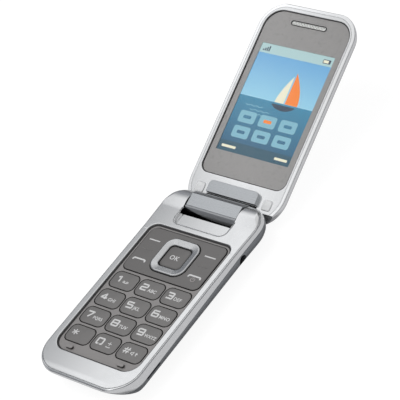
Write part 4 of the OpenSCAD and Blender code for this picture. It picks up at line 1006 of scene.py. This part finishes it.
def rounded_path(points, r, steps=5):
    """Open path whose corners are replaced by curves that start and end r away from the corner."""
    points = [np.array(p, float) for p in points]
    out = [points[0]]
    for before, at, after in zip(points, points[1:], points[2:]):
        a, b = before - at, after - at
        reach = min(r, np.linalg.norm(a) * 0.45, np.linalg.norm(b) * 0.45)
        a, b = at + a / np.linalg.norm(a) * reach, at + b / np.linalg.norm(b) * reach
        out += [(1 - t) ** 2 * a + 2 * t * (1 - t) * at + t * t * b for t in np.linspace(0, 1, steps)]
    return np.array(out + [points[-1]])


def ribbon(path, w, base, top):
    """Raised stroke: the path's points set off by half the width along the mitre of its two neighbours, between
    two heights, each a number or a function of place. Returns points and faces."""
    step = np.diff(path, axis=0)
    step /= np.linalg.norm(step, axis=1)[:, None]
    before = np.vstack([step[:1], step])
    after = np.vstack([step, step[-1:]])
    normal = np.column_stack([-(before + after)[:, 1], (before + after)[:, 0]])
    normal /= (np.linalg.norm(normal, axis=1) ** 2 / 2)[:, None]
    left, right = path + normal * w / 2, path - normal * w / 2
    n = len(path)
    flat = np.concatenate([left, right])
    points = np.concatenate([level(flat, base), level(flat, top)])
    faces = []
    for i in range(n - 1):
        l0, l1, r0, r1 = i, i + 1, n + i, n + i + 1
        faces += [(2 * n + l0, 2 * n + r0, 2 * n + r1, 2 * n + l1), (l0, l1, r1, r0),
                  (l0, 2 * n + l0, 2 * n + l1, l1), (r1, 2 * n + r1, 2 * n + r0, r0)]
    faces += [(0, n, 3 * n, 2 * n), (n - 1, 3 * n - 1, 4 * n - 1, 2 * n - 1)]
    return points, faces


def lettering(text, size, x, y, base, top, squeeze=1.0):
    """Small upright letters from the built-in face, made a mesh and laid on the surface."""
    curve = bpy.data.curves.new("letters", "FONT")
    curve.body = text
    curve.size = size
    curve.extrude = 0.5
    curve.space_character = 1.06
    curve.resolution_u = 3
    curve.offset = 0.05
    holder = put("letters", curve)
    graph = bpy.context.evaluated_depsgraph_get()
    mesh = bpy.data.meshes.new_from_object(holder.evaluated_get(graph))
    points = np.empty(len(mesh.vertices) * 3)
    mesh.vertices.foreach_get("co", points)
    points = points.reshape(-1, 3)
    faces = [tuple(p.vertices) for p in mesh.polygons]
    flat = points[:, :2] * (squeeze, 1) + (x, y)
    raised = np.where(points[:, 2:] > 0, level(flat, top), level(flat, base))
    bpy.data.objects.remove(holder)
    bpy.data.meshes.remove(mesh)
    return raised, faces


def gather(name, parts):
    """One mesh from several lists of points and faces, each already facing outwards."""
    points, faces, start = [], [], 0
    for some, many in parts:
        points.append(some)
        faces += [tuple(i + start for i in face) for face in many]
        start += len(some)
    mesh = bpy.data.meshes.new(name)
    mesh.from_pydata((np.concatenate(points) * MM).tolist(), [], faces)
    piece = put(name, mesh)
    work = bmesh.new()
    work.from_mesh(mesh)
    bmesh.ops.remove_doubles(work, verts=work.verts, dist=1e-8)
    bmesh.ops.recalc_face_normals(work, faces=work.faces)
    work.to_mesh(mesh)
    work.free()
    return piece


def on_key(x, y, lift=0.0, crown=KEY_CROWN):
    """Height of a crowned key's top, raised by lift, as a function of place."""
    return lambda p: KEY_TOP + lift - ((p - (x, y)) ** 2).sum(1) / (2 * crown)


def legend(k):
    """Digit on the left, its letters or marks on the right, raised by a hundredth of a millimetre."""
    sign, (x, y) = LAYOUT[k], key_places()[k]
    base, top = on_key(x, y, LEGEND_SUNK), on_key(x, y, LEGEND_RAISED)
    w, h, stroke = (3.2, 2.9, 0.46) if sign in "*#" else (2.9, 2.7, 0.72)
    left, foot = x - 4.15, y - 1.15
    parts = []
    for path in STROKES[sign]:
        path = [(left + a * w, foot + b * h) for a, b in path]
        parts.append(ribbon(rounded_path(path, 0.42), stroke, base, top))
    if sign in LETTERS:
        size, squeeze = (2.15, 0.98) if len(LETTERS[sign]) == 3 else (2.0, 0.92)
        parts.append(lettering(LETTERS[sign], size, x - 0.35, foot - 0.2, base, top, squeeze))
    for path in MARKS.get(sign, []):
        parts.append(ribbon(np.array(path) + (x + (0.5 if sign == "0" else -0.2), foot), 0.3, base, top))
    return wear(gather(node_name(k) + "_legend", parts), node_name(k), LEGEND, "key_grey")


def node_name(k):
    return NODE_OF.get(LAYOUT[k], "key_" + LAYOUT[k])


def number_keys():
    for k, (x, y) in enumerate(key_places()):
        name = node_name(k)
        piece = crowned(name + "_cap", rounded(KEY_W, KEY_L, KEY_R, x, y), x, y, FLANGE_BOTTOM, flange=FLANGE_W)
        wear(piece, name, KEY_GREY, "key_grey", name)
        legend(k)


def function_legends():
    """Soft-key bars, the two call handsets, the small off sign, and the letters on the middle key."""
    base, top = KEY_TOP + LEGEND_SUNK, KEY_TOP + LEGEND_RAISED
    bars = []
    for x in (-SOFT_X, SOFT_X):
        bars.append(ribbon(np.array([(x - 2.7, 20.15), (x + 2.7, 20.15)]), 0.55, base, top))
        handset = [(x - 3.0, 8.7), (x - 2.75, 9.75), (x + 2.75, 9.75), (x + 3.0, 8.7)]
        bars.append(ribbon(rounded_path(handset, 0.5), 0.72, base, top))
    x = SOFT_X + 0.05
    ring = [(x + 0.95 * math.cos(t), 7.95 + 0.95 * math.sin(t)) for t in np.linspace(2.1, 7.3, 24)]
    off = [ribbon(np.array(path), 0.26, base, top) for path in (ring, [(x, 8.0), (x, 9.05)])]
    letters = lettering("OK", 3.0, -2.45, RING_Y - 1.3, on_key(0, RING_Y, LEGEND_SUNK),
                        on_key(0, RING_Y, LEGEND_RAISED))
    wear(gather("function_legends", bars), "function_plate", LEGEND, "key_grey")
    wear(gather("off_sign", off), "function_plate", FAINT_LEGEND, "key_grey")
    wear(gather("ok_legend", [letters]), "ok_key", LEGEND, "key_grey")


def volume_key():
    """Two-ended key in the left side: it follows the base's skin, a little proud, with a dip in its middle."""
    piece = base_form("volume_key_cap", -0.35)
    bar = stack("volume_bar", rounded(VOLUME_H, VOLUME_L, 0.6), [(0, -3), (0, 3)])
    keep(piece, sideways(bar, -(VOLUME_IN + 3), VOLUME_Y, VOLUME_Z))
    cut(piece, lathe("volume_dip", [(2.6, 0), (2.6, 15)], -BASE_W / 2 - 2.6, VOLUME_Y, 160))
    return wear(piece, "volume_key", BRIGHT, "side_key", "volume_key")


# ---- Lid ----

THROUGH = [(0, -FAR), (0, FAR)]


def hinge_room():
    """Cutter that lets the lid turn round the base's shoulders."""
    return rod("shoulder_hollow", HOLLOW_R, -FAR, FAR, 0, 0, 160)


def neck_seat():
    return slab("neck_seat", -FAR, NOTCH_REACH + FIT, FACE_N - LID_BAND_T - 0.2, FAR, BARREL_W + 2 * FIT)


def lid_inner_cover():
    piece = keep(lid_form("lid_inner_shell"), lid_prism("skirt", INNER_IN),
                 slab("over", -FAR, FAR, INNER_N, FAR))
    seat = opening(WINDOW_W, WINDOW_L, WINDOW_NEAR_R, WINDOW_FAR_R, WINDOW_V)
    light = opening(WINDOW_W - 2, WINDOW_L - 2, WINDOW_NEAR_R - 1, WINDOW_FAR_R - 1, WINDOW_V + 1)
    cut(piece, stack("window_seat", seat, [(0, WINDOW_N - WINDOW_T)] + flared(0.3, FACE_N, FACE_N + 3)),
        stack("window_through", light, THROUGH), hinge_room(), neck_seat())
    screw = [(0.8, -FAR), (0.8, FACE_N - 1), (1.4, FACE_N - 1), (1.4, FAR)]
    for x in (-BUMPER_X, BUMPER_X):
        cut(piece, stack("bumper_seat", rounded(BUMPER_W, BUMPER_W, 1.0, x, BUMPER_V),
                         [(0, FACE_N - BUMPER_SEAT), (0, FAR)]),
            lathe("bumper_screw", screw, x, BUMPER_V, 40))
    return wear(to_lid(piece), "lid", SILVER, "cover_silver", "lid_inner_cover")


def lid_skin_path(n):
    """Line round the lid where its skin has the height n, for a height under the widest line."""
    v = lid_ring(0.0)[:, 1]
    v = v[:len(v) // 2]
    back = lid_back(v)
    down = np.clip((NOSE_N - n) / np.maximum(NOSE_N - back, 1e-6), 0, 1)
    inside = NOSE_N - back > NOSE_N - n
    x = lid_half(v) - LID_EDGE * (1 - np.sqrt(1 - down ** 2))
    return level(both_sides(x[inside], v[inside]), n)


def lid_band():
    piece = keep(lid_form("lid_band_shell"), slab("over", -FAR, FAR, FACE_N - LID_BAND_T, FAR))
    cut(piece, lid_prism("band_inside", LID_BAND_W), hinge_room(), neck_seat(),
        tube("lid_groove", lid_skin_path(FACE_N - LID_BAND_T), 0.14))
    return wear(to_lid(piece), "lid", BRIGHT, "band_silver", "lid_band")


def lid_outer_cover():
    piece = keep(lid_form("lid_outer_shell"), slab("under", -FAR, FAR, -FAR, FACE_N - LID_BAND_T))
    cut(piece, lid_form("lid_inside", OUTER_T))
    room = LID_W / 2 - INNER_IN - OUTER_T
    wall = rod("wall", HOLLOW_R + OUTER_T, -room, room, 0, 0, 160)
    keep(wall, slab("wall_zone", 0, 20, LID_N + OUTER_T / 2, INNER_N), lid_prism("wall_outline", INNER_IN))
    join(piece, wall)
    for x in (-BUMPER_X, BUMPER_X):
        join(piece, lathe("lid_post", [(1.9, LID_N + OUTER_T / 2), (1.9, INNER_N)], x, BUMPER_V, 48))
    r, hole = 0.2, CAMERA_R + 0.1
    mouth = [(hole + r, -20)] + [(hole - out, LID_N + r * (1 - math.sin(q)))
                                 for (out, _), q in zip(domed(r, 0, 5), arc(5))]
    seat = [(CAMERA_R + 0.02, LID_N + r), (CAMERA_R + 0.02, LID_N + OUTER_T + 2)]
    cut(piece, hinge_room(), slab("neck_opening", -FAR, NOTCH_REACH + TONGUE, LID_N + OUTER_T, FAR, BARREL_W),
        lathe("camera_hole", mouth + seat, 0, CAMERA_V, 120),
        tube("lid_groove", lid_skin_path(FACE_N - LID_BAND_T), 0.14))
    for x in (-BUMPER_X, BUMPER_X):
        cut(piece, lathe("post_hole", [(0.7, LID_N + OUTER_T), (0.7, FAR)], x, BUMPER_V, 40))
    return wear(to_lid(piece), "lid", SILVER, "shell_silver", "lid_outer_cover")


def turned(piece, degrees):
    piece.data.transform(Matrix.Rotation(math.radians(degrees), 4, "X"))
    return piece


def lid_knuckle():
    piece = rod("lid_knuckle_shell", HINGE_R, -BARREL_W / 2, BARREL_W / 2, 0, 0, 180, 0.35)
    neck = keep(lid_form("neck", OUTER_T),
                slab("neck_zone", -FAR, NOTCH_REACH + TONGUE, -FAR, INNER_N, BARREL_W))
    cut(neck, slab("cover_edge", NOTCH_REACH, FAR, INNER_N - 0.01, FAR))
    join(piece, neck)
    left, right = TRIM_SHIFT - TRIM_W / 2 - 0.08, TRIM_SHIFT + TRIM_W / 2 + 0.08
    cut(piece, turned(slab("flat", FLAT_REACH - 0.04, FAR, -FAR, FAR), FLAT_DIR),
        turned(slab("trim_pocket", FLAT_REACH - TRIM_T, FAR, left, right), FLAT_DIR),
        rod("cartridge_bore", CARTRIDGE_R, -FAR, CARTRIDGE_RIGHT), rod("bush_bore", BUSH_R + 0.05, 0, FAR),
        box("cable_slot", (CABLE_LEFT, 1.2, -7.2), (CABLE_RIGHT, 2.1, 0.3)),
        box("cable_exit", (CABLE_LEFT, 1.2, -7.2), (CABLE_RIGHT, FAR, -6.4)))
    return wear(to_lid(piece), "lid", BARREL_METAL_PAINTED_SHADE, "brushed_metal", "lid_knuckle")


def soft_box(name, w, l, low, high, r, x=0.0, y=0.0, edge=0.15, near_r=None):
    """Upright rounded block whose top edge is a quarter circle."""
    at = rounded(w, l, r, x, y) if near_r is None else opening(w, l, near_r, r, y)
    return stack(name, at, [(0, low)] + domed(edge, high, 5))


def hinge_trim():
    piece = soft_box("hinge_trim_plate", BARREL_W - 0.1, TRIM_W, FLAT_REACH - TRIM_T, FLAT_REACH,
                     0.25, 0, -TRIM_SHIFT, 0.16)
    return wear(to_lid(turned(piece, FLAT_DIR - 90)), "lid", TRIM_METAL, "brushed_metal", "hinge_trim")


def neck_plate():
    piece = soft_box("neck_plate_cap", NECK_W, NECK_FAR - NECK_NEAR, FACE_N, FACE_N + NECK_H,
                     2.0, 0, NECK_NEAR, 0.3, 0.4)
    return wear(to_lid(piece), "lid", TRIM_METAL, "brushed_metal", "neck_plate")


def lid_bumpers():
    size = BUMPER_W - 2 * FIT
    pads = [soft_box("lid_bumper_pads", size, size, FACE_N - BUMPER_SEAT, FACE_N + 0.35, 0.9, x, BUMPER_V, 0.22)
            for x in (-BUMPER_X, BUMPER_X)]
    return wear(to_lid(join(*pads)), "lid", RUBBER, "rubber_clear", "lid_bumpers")


# ---- Window and display ----

def window():
    """Print and clear plate of the window, with the slot of the earpiece through both, a dark gasket round the
    window that also stands as painted shade for the gap of the window's recess, and a dark lip round the slot."""
    low, mid, high, rim = WINDOW_N - WINDOW_T, WINDOW_N - 0.25, WINDOW_N, 0.28
    radii = WINDOW_NEAR_R, WINDOW_FAR_R
    pane = opening(WINDOW_W - 2 * rim, WINDOW_L - 2 * rim, *radii, WINDOW_V + rim)
    slot = rounded(EAR_L, EAR_W, EAR_W / 2 - 0.01, 0, EAR_V)
    picture = rounded(LCD_W, LCD_L, 0.35, 0, LCD_V)
    printed = stack("window_border", pane, [(0, low), (0, mid)])
    cut(printed, stack("picture_hole", picture, THROUGH), stack("slot", slot, THROUGH))
    clear = cut(stack("window_pane", pane, [(0, mid + 0.03), (0, high)]), stack("slot", slot, THROUGH))
    seat, hem = (opening(WINDOW_W - 2 * by - 0.02, WINDOW_L - 2 * by - 0.02, *radii, WINDOW_V + by + 0.01)
                 for by in (0, rim))
    # partly a dark gasket, partly painted shade for the shaded gap round the window
    gasket = annulus("window_gasket_gap_shade", seat, hem, low + 0.02, high + 0.02, 0.05, 0.05, 2)
    lip = annulus("earpiece_lip", rounded(EAR_L + 0.5, EAR_W + 0.5, EAR_W / 2 + 0.24, 0, EAR_V),
                  rounded(EAR_L - 0.1, EAR_W - 0.1, EAR_W / 2 - 0.06, 0, EAR_V),
                  low + 0.02, high + 0.06, 0.08, 0.08, 2)
    wear(to_lid(printed), "lid", PRINT_GREY, "window_glass", "display_window")
    wear(to_lid(clear), "lid", GLASS, "window_glass", "display_window", degrees=5)
    wear(to_lid(gasket), "lid", RIM_BLACK, "window_glass")
    wear(to_lid(lip), "lid", RIM_BLACK, "window_glass")


def camera_parts():
    r, inner_r, seat_r, e = CAMERA_R, CAMERA_R - CAMERA_RIM, 2.3, 0.3
    out, floor_n = LID_N - CAMERA_OUT, LID_N + OUTER_T
    outer = [(r - e + e * math.sin(q), out + e * (1 - math.cos(q))) for q in arc(7)]
    seat = [(r, floor_n), (seat_r, floor_n), (seat_r, floor_n - 0.5), (inner_r, floor_n - 0.5)]
    inner = [(inner_r + e * (1 - math.sin(q)), out + e * (1 - math.cos(q))) for q in arc(7)[::-1]]
    ring = lathe("camera_ring_cap", outer + seat + inner, 0, CAMERA_V, 144, True)
    wear(to_lid(ring), "lid", BRIGHT, "ring_chrome", "camera_ring")
    dome = [(inner_r * s, LID_N + 0.1 + 0.12 * s * s) for s in np.linspace(0.03, 1, 14)]
    lens = lathe("camera_window_lens", dome + [(inner_r, floor_n - 0.5), (0.1, floor_n - 0.5)], 0, CAMERA_V, 120)
    wear(to_lid(lens), "lid", LENS, "camera_glass", "camera_window")


SEA = lit("display_sea", rgb(40, 96, 128), 0.8, rgb(62, 160, 196), LCD_V - LCD_L / 2 + 4, LCD_V + 2)
SKY = lit("display_sky", rgb(150, 208, 232), 0.82, rgb(48, 136, 206), LCD_V, LCD_V + LCD_L / 2 - 5)
PALE = lit("display_pale_strip", rgb(176, 208, 210), 0.8)
TEAL = lit("display_teal", rgb(36, 84, 104), 0.8)
ORANGE = lit("display_orange", rgb(240, 128, 36), 0.9)
CREAM = lit("display_cream", rgb(236, 232, 206), 0.85)
HULL = lit("display_hull", rgb(40, 62, 84), 0.75)
TILE = lit("display_tile", rgb(128, 184, 202), 0.8)


def display():
    """Generic picture: status strip, a sailing boat on open water, two rows of plain tiles and a foot strip."""
    n = WINDOW_N - WINDOW_T + 0.05
    half, near, far = LCD_W / 2, LCD_V - LCD_L / 2, LCD_V + LCD_L / 2

    def flat(name, points, layer, material):
        at = np.array(points, float)
        sheet_ = rings("display_" + name, np.stack([level(at, z) for z in (n, n + 0.012 * layer)]))
        wear(to_lid(sheet_), "lid", material, "display")

    def field(name, x0, x1, v0, v1, layer, material, r=0.0):
        corners = [(x0, v0), (x1, v0), (x1, v1), (x0, v1)]
        if r:
            corners = rounded(x1 - x0, v1 - v0, r, (x0 + x1) / 2, (v0 + v1) / 2, 5)(0)
        flat(name, corners, layer, material)

    def between(x0, v0, x1, v1):
        """Outline along one curve and back along another."""
        return np.concatenate([np.column_stack(np.broadcast_arrays(x0, v0)),
                               np.column_stack(np.broadcast_arrays(x1, v1))])

    strip, foot = 4.2, 4.6
    horizon = near + 25.0
    field("status_strip", -half, half, far - strip, far, 1, PALE)
    field("sky_panel", -half, half, horizon, far - strip, 1, SKY)
    field("water_panel", -half, half, near + foot, horizon, 1, SEA)
    field("foot_strip", -half, half, near, near + foot, 1, TEAL)
    for k in range(4):
        x = -half + 1.4 + k * 0.95
        field("signal_bar_%d" % k, x, x + 0.6, far - 3.3, far - 2.6 + k * 0.55, 2, HULL)
    field("charge_case", half - 5.2, half - 1.4, far - 3.2, far - 1.4, 2, HULL, 0.3)
    field("charge_level", half - 4.9, half - 2.4, far - 2.9, far - 1.7, 3, CREAM)
    field("foot_word_left", -half + 1.8, -half + 9.0, near + 1.7, near + 2.8, 2, CREAM, 0.3)
    field("foot_word_right", half - 8.2, half - 1.8, near + 1.7, near + 2.8, 2, CREAM, 0.3)
    t = np.linspace(0, 1, 16)
    x, v = 4.0, horizon - 1.6
    keel = v + 0.9 - 2.4 * np.sqrt(np.sin(math.pi * np.clip(t, 0.02, 0.98)))
    flat("boat_hull", between(x - 5.6 + 11.2 * t, v + 0.9, x + 5.6 - 11.2 * t, keel), 2, HULL)
    belly = x + 0.3 + 6.2 * np.sin(math.pi / 2 * t[1:])
    sail = between(x + 0.3, np.array([v + 1.7, v + 15.6]), belly, v + 15.6 - 13.9 * t[1:])
    flat("boat_sail", sail[::-1], 3, ORANGE)
    luff = x - 4.9 + 4.5 * t[:-1] ** 1.6
    jib = between(x - 0.4, np.array([v + 14.0, v + 1.7]), luff, v + 1.7 + 12.3 * t[:-1])
    flat("boat_jib", jib[::-1], 3, CREAM)
    for k in range(3):
        span = np.linspace(-14 + 3 * k, -5 + 4 * k, 18)
        wave = horizon - 3.4 - 1.7 * k + 0.28 * np.sin(span * 2.1)
        flat("wave_%d" % k, between(span, wave, span[::-1], wave[::-1] - 0.3), 2, TILE)
    for k in range(6):
        x0, v0 = -14.6 + (k % 3) * 10.4, near + foot + 8.9 - (k // 3) * 6.8
        field("tile_%d" % k, x0, x0 + 8.4, v0, v0 + 5.2, 2, TILE, 1.0)
        field("tile_mark_%d" % k, x0 + 2.2, x0 + 6.2, v0 + 1.9, v0 + 3.3, 3, ORANGE if k == 1 else SEA, 0.5)


# ---- The rest of the pieces, carried over with their materials ----

CARRIED = {
    "battery": WRAP, "battery_contacts": GOLD, "sim_holder": STEEL, "main_board": BOARD, "shield_can": STEEL,
    "dome_sheet": DOME_FILM, "key_mat": MAT_RUBBER, "audio_jack": BLACK, "usb_socket": STEEL,
    "loudspeaker": BLACK, "microphone": GOLD, "vibration_motor": STEEL, "antenna": GOLD,
    "base_screws": SCREW_STEEL, "hinge_shaft": STEEL, "hinge_bush": STEEL, "nav_actuator": BLACK,
    "lcd_module": BLACK, "lid_board": BOARD, "earpiece_mesh": MESH_METAL, "earpiece": BLACK,
    "hinge_cartridge": STEEL, "cam_follower": GOLD, "hinge_spring": STEEL, "hinge_flex": FLEX,
    "lid_screws": SCREW_STEEL, "lid_magnet": MAGNET, "camera_module": BLACK,
}


def carry_over():
    for node, material in CARRIED.items():
        mesh = frame["nodes"][node].data
        mesh.materials.clear()
        mesh.materials.append(material)


for make in (front_cover, side_band, back_shell, battery_cover, keypad_web, keypad_shade_rim, number_keys,
             function_plate, nav_ring, ok_key, function_legends, stoppers, volume_key, lid_inner_cover,
             lid_band, lid_outer_cover, lid_knuckle, hinge_trim, neck_plate, lid_bumpers, window,
             camera_parts, display, carry_over):
    make()


# ---- Floor, light and camera ----

object_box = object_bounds()
LOWEST = object_box[0][2]


def sheet(name, low, high, z, material):
    """Flat rectangle of the stage."""
    mesh = bpy.data.meshes.new(name)
    mesh.from_pydata([(low[0], low[1], z), (high[0], low[1], z), (high[0], high[1], z), (low[0], high[1], z)],
                     [], [(0, 1, 2, 3)])
    mesh.materials.append(material)
    piece = put(name, mesh)
    return piece


def floor():
    """Wide pale ground and, for the camera alone, pure white where nothing shades it. Mirrored, it shows a
    painted shadow: dark under the phone, growing light within 8 mm of it."""
    f = Finish("floor_white", rgb(250, 250, 250))
    paper = f.add("BsdfDiffuse", {"Color": grey(0.8)})[0]
    seen = f.add("AddShader", {0: f.add("BsdfDiffuse", {"Color": grey(0.22)})[0],
                               1: f.add("Emission", {"Color": grey(0.90)})[0]})[0]
    where = f.reach("ABSOLUTE", f.place())[0]
    past = f.reach("SUBTRACT", where, (BASE_W / 2 * MM, BASE_LEN / 2 * MM, 0))[0]
    away = f.reach("LENGTH", f.reach("MAXIMUM", past, (0, 0, 0))[0])["Value"]
    # painted shadow round the phone's footprint, seen only in reflections
    shade = f.ramp(f.spread(away, 0.0, 1.0, 0.0, 0.008),
                   (0.0, (0.05, 0.05, 0.055, 1)), (1.0, (0.58, 0.58, 0.59, 1)))
    path = f.add("LightPath")
    mirrored = f.pick(path["Is Glossy Ray"], paper, f.add("Emission", {"Color": shade})[0])
    sheet("floor", (-3, -3), (3, 3), LOWEST, f.show(f.pick(path["Is Camera Ray"], mirrored, seen)))


def reflector():
    """Card over the left that only the glossy parts see: dim on its far left, white where the deck's right
    edge mirrors it and softer beyond, where the lid does, so that the deck runs from grey to white."""
    f = Finish("reflector_light", rgb(250, 250, 250))
    stops = [(at, (share * 0.985, share * 0.99, share, 1))
             for at, share in ((0.2, 0.40), (0.56, 1.0), (0.8, 0.68))]
    shade = f.ramp(f.spread(f.axes()[0], 0.0, 1.0, -0.19, -0.05),
                   (0.0, (0.17, 0.18, 0.20, 1)), *stops, (1.0, grey(0.60)))
    glow = f.add("Emission", {"Color": shade, "Strength": 1.35})[0]
    card = sheet("reflector", (-0.42, -0.30), (0.10, 0.40), 0.16, f.show(glow))
    card.data.flip_normals()
    card.visible_camera = card.visible_diffuse = card.visible_shadow = card.visible_transmission = False


def world():
    """White to the camera, an even soft light to the rest, and a sky that is light high up in reflections."""
    scene = bpy.context.scene
    scene.world = bpy.data.worlds.new("studio")
    scene.world.use_nodes = True
    w = Nodes(scene.world.node_tree)
    w.tree.nodes.clear()
    up = w.add("SeparateXYZ", {0: w.add("TexCoord")["Generated"]})[2]
    sky = w.ramp(up, (0.0, (0.08, 0.08, 0.09, 1)), (0.3, (0.26, 0.27, 0.29, 1)), (0.7, (1, 1, 1, 1)))
    soft, mirrored, backdrop = (
        w.add("Background", {"Color": colour, "Strength": strength})[0]
        for colour, strength in (((0.99, 0.995, 1, 1), 0.42), (sky, 0.8), ((1, 1, 1, 1), 1.0)))
    path = w.add("LightPath")
    either = w.pick(path["Is Glossy Ray"], soft, mirrored)
    w.add("OutputWorld", {"Surface": w.pick(path["Is Camera Ray"], either, backdrop)})


def lamp(name, place, aim, size, power):
    light = bpy.data.lights.new(name, "AREA")
    light.shape = "RECTANGLE"
    light.size, light.size_y = size
    light.energy = power
    holder = put(name, light)
    holder.location = place
    holder.visible_glossy = False
    holder.rotation_mode = "QUATERNION"
    holder.rotation_quaternion = (Vector(aim) - Vector(place)).to_track_quat("-Z", "Y")


def camera():
    lens = bpy.data.cameras.new("photo_camera")
    lens.sensor_width = 36.0
    lens.lens = 179.2
    lens.clip_start, lens.clip_end = 0.05, 20
    holder = put("photo_camera", lens)
    holder.matrix_world = Matrix(((0.76466585, -0.22286663, 0.60466239, 0.471959355),
                                  (0.56399838, 0.6853661, -0.46062906, -0.321631749),
                                  (-0.31175625, 0.69325592, 0.64977247, 0.526203116),
                                  (0, 0, 0, 1)))
    scene = bpy.context.scene
    scene.camera = holder
    scene.view_settings.view_transform = "Standard"


floor()
reflector()
world()
lamp("key_softbox", (-0.30, -0.15, 0.85), (0, 0.0, 0), (0.7, 0.7), 3.0)
lamp("front_fill", (0.10, -0.85, 0.30), (0, 0.05, 0.03), (0.9, 0.4), 1.2)
camera()
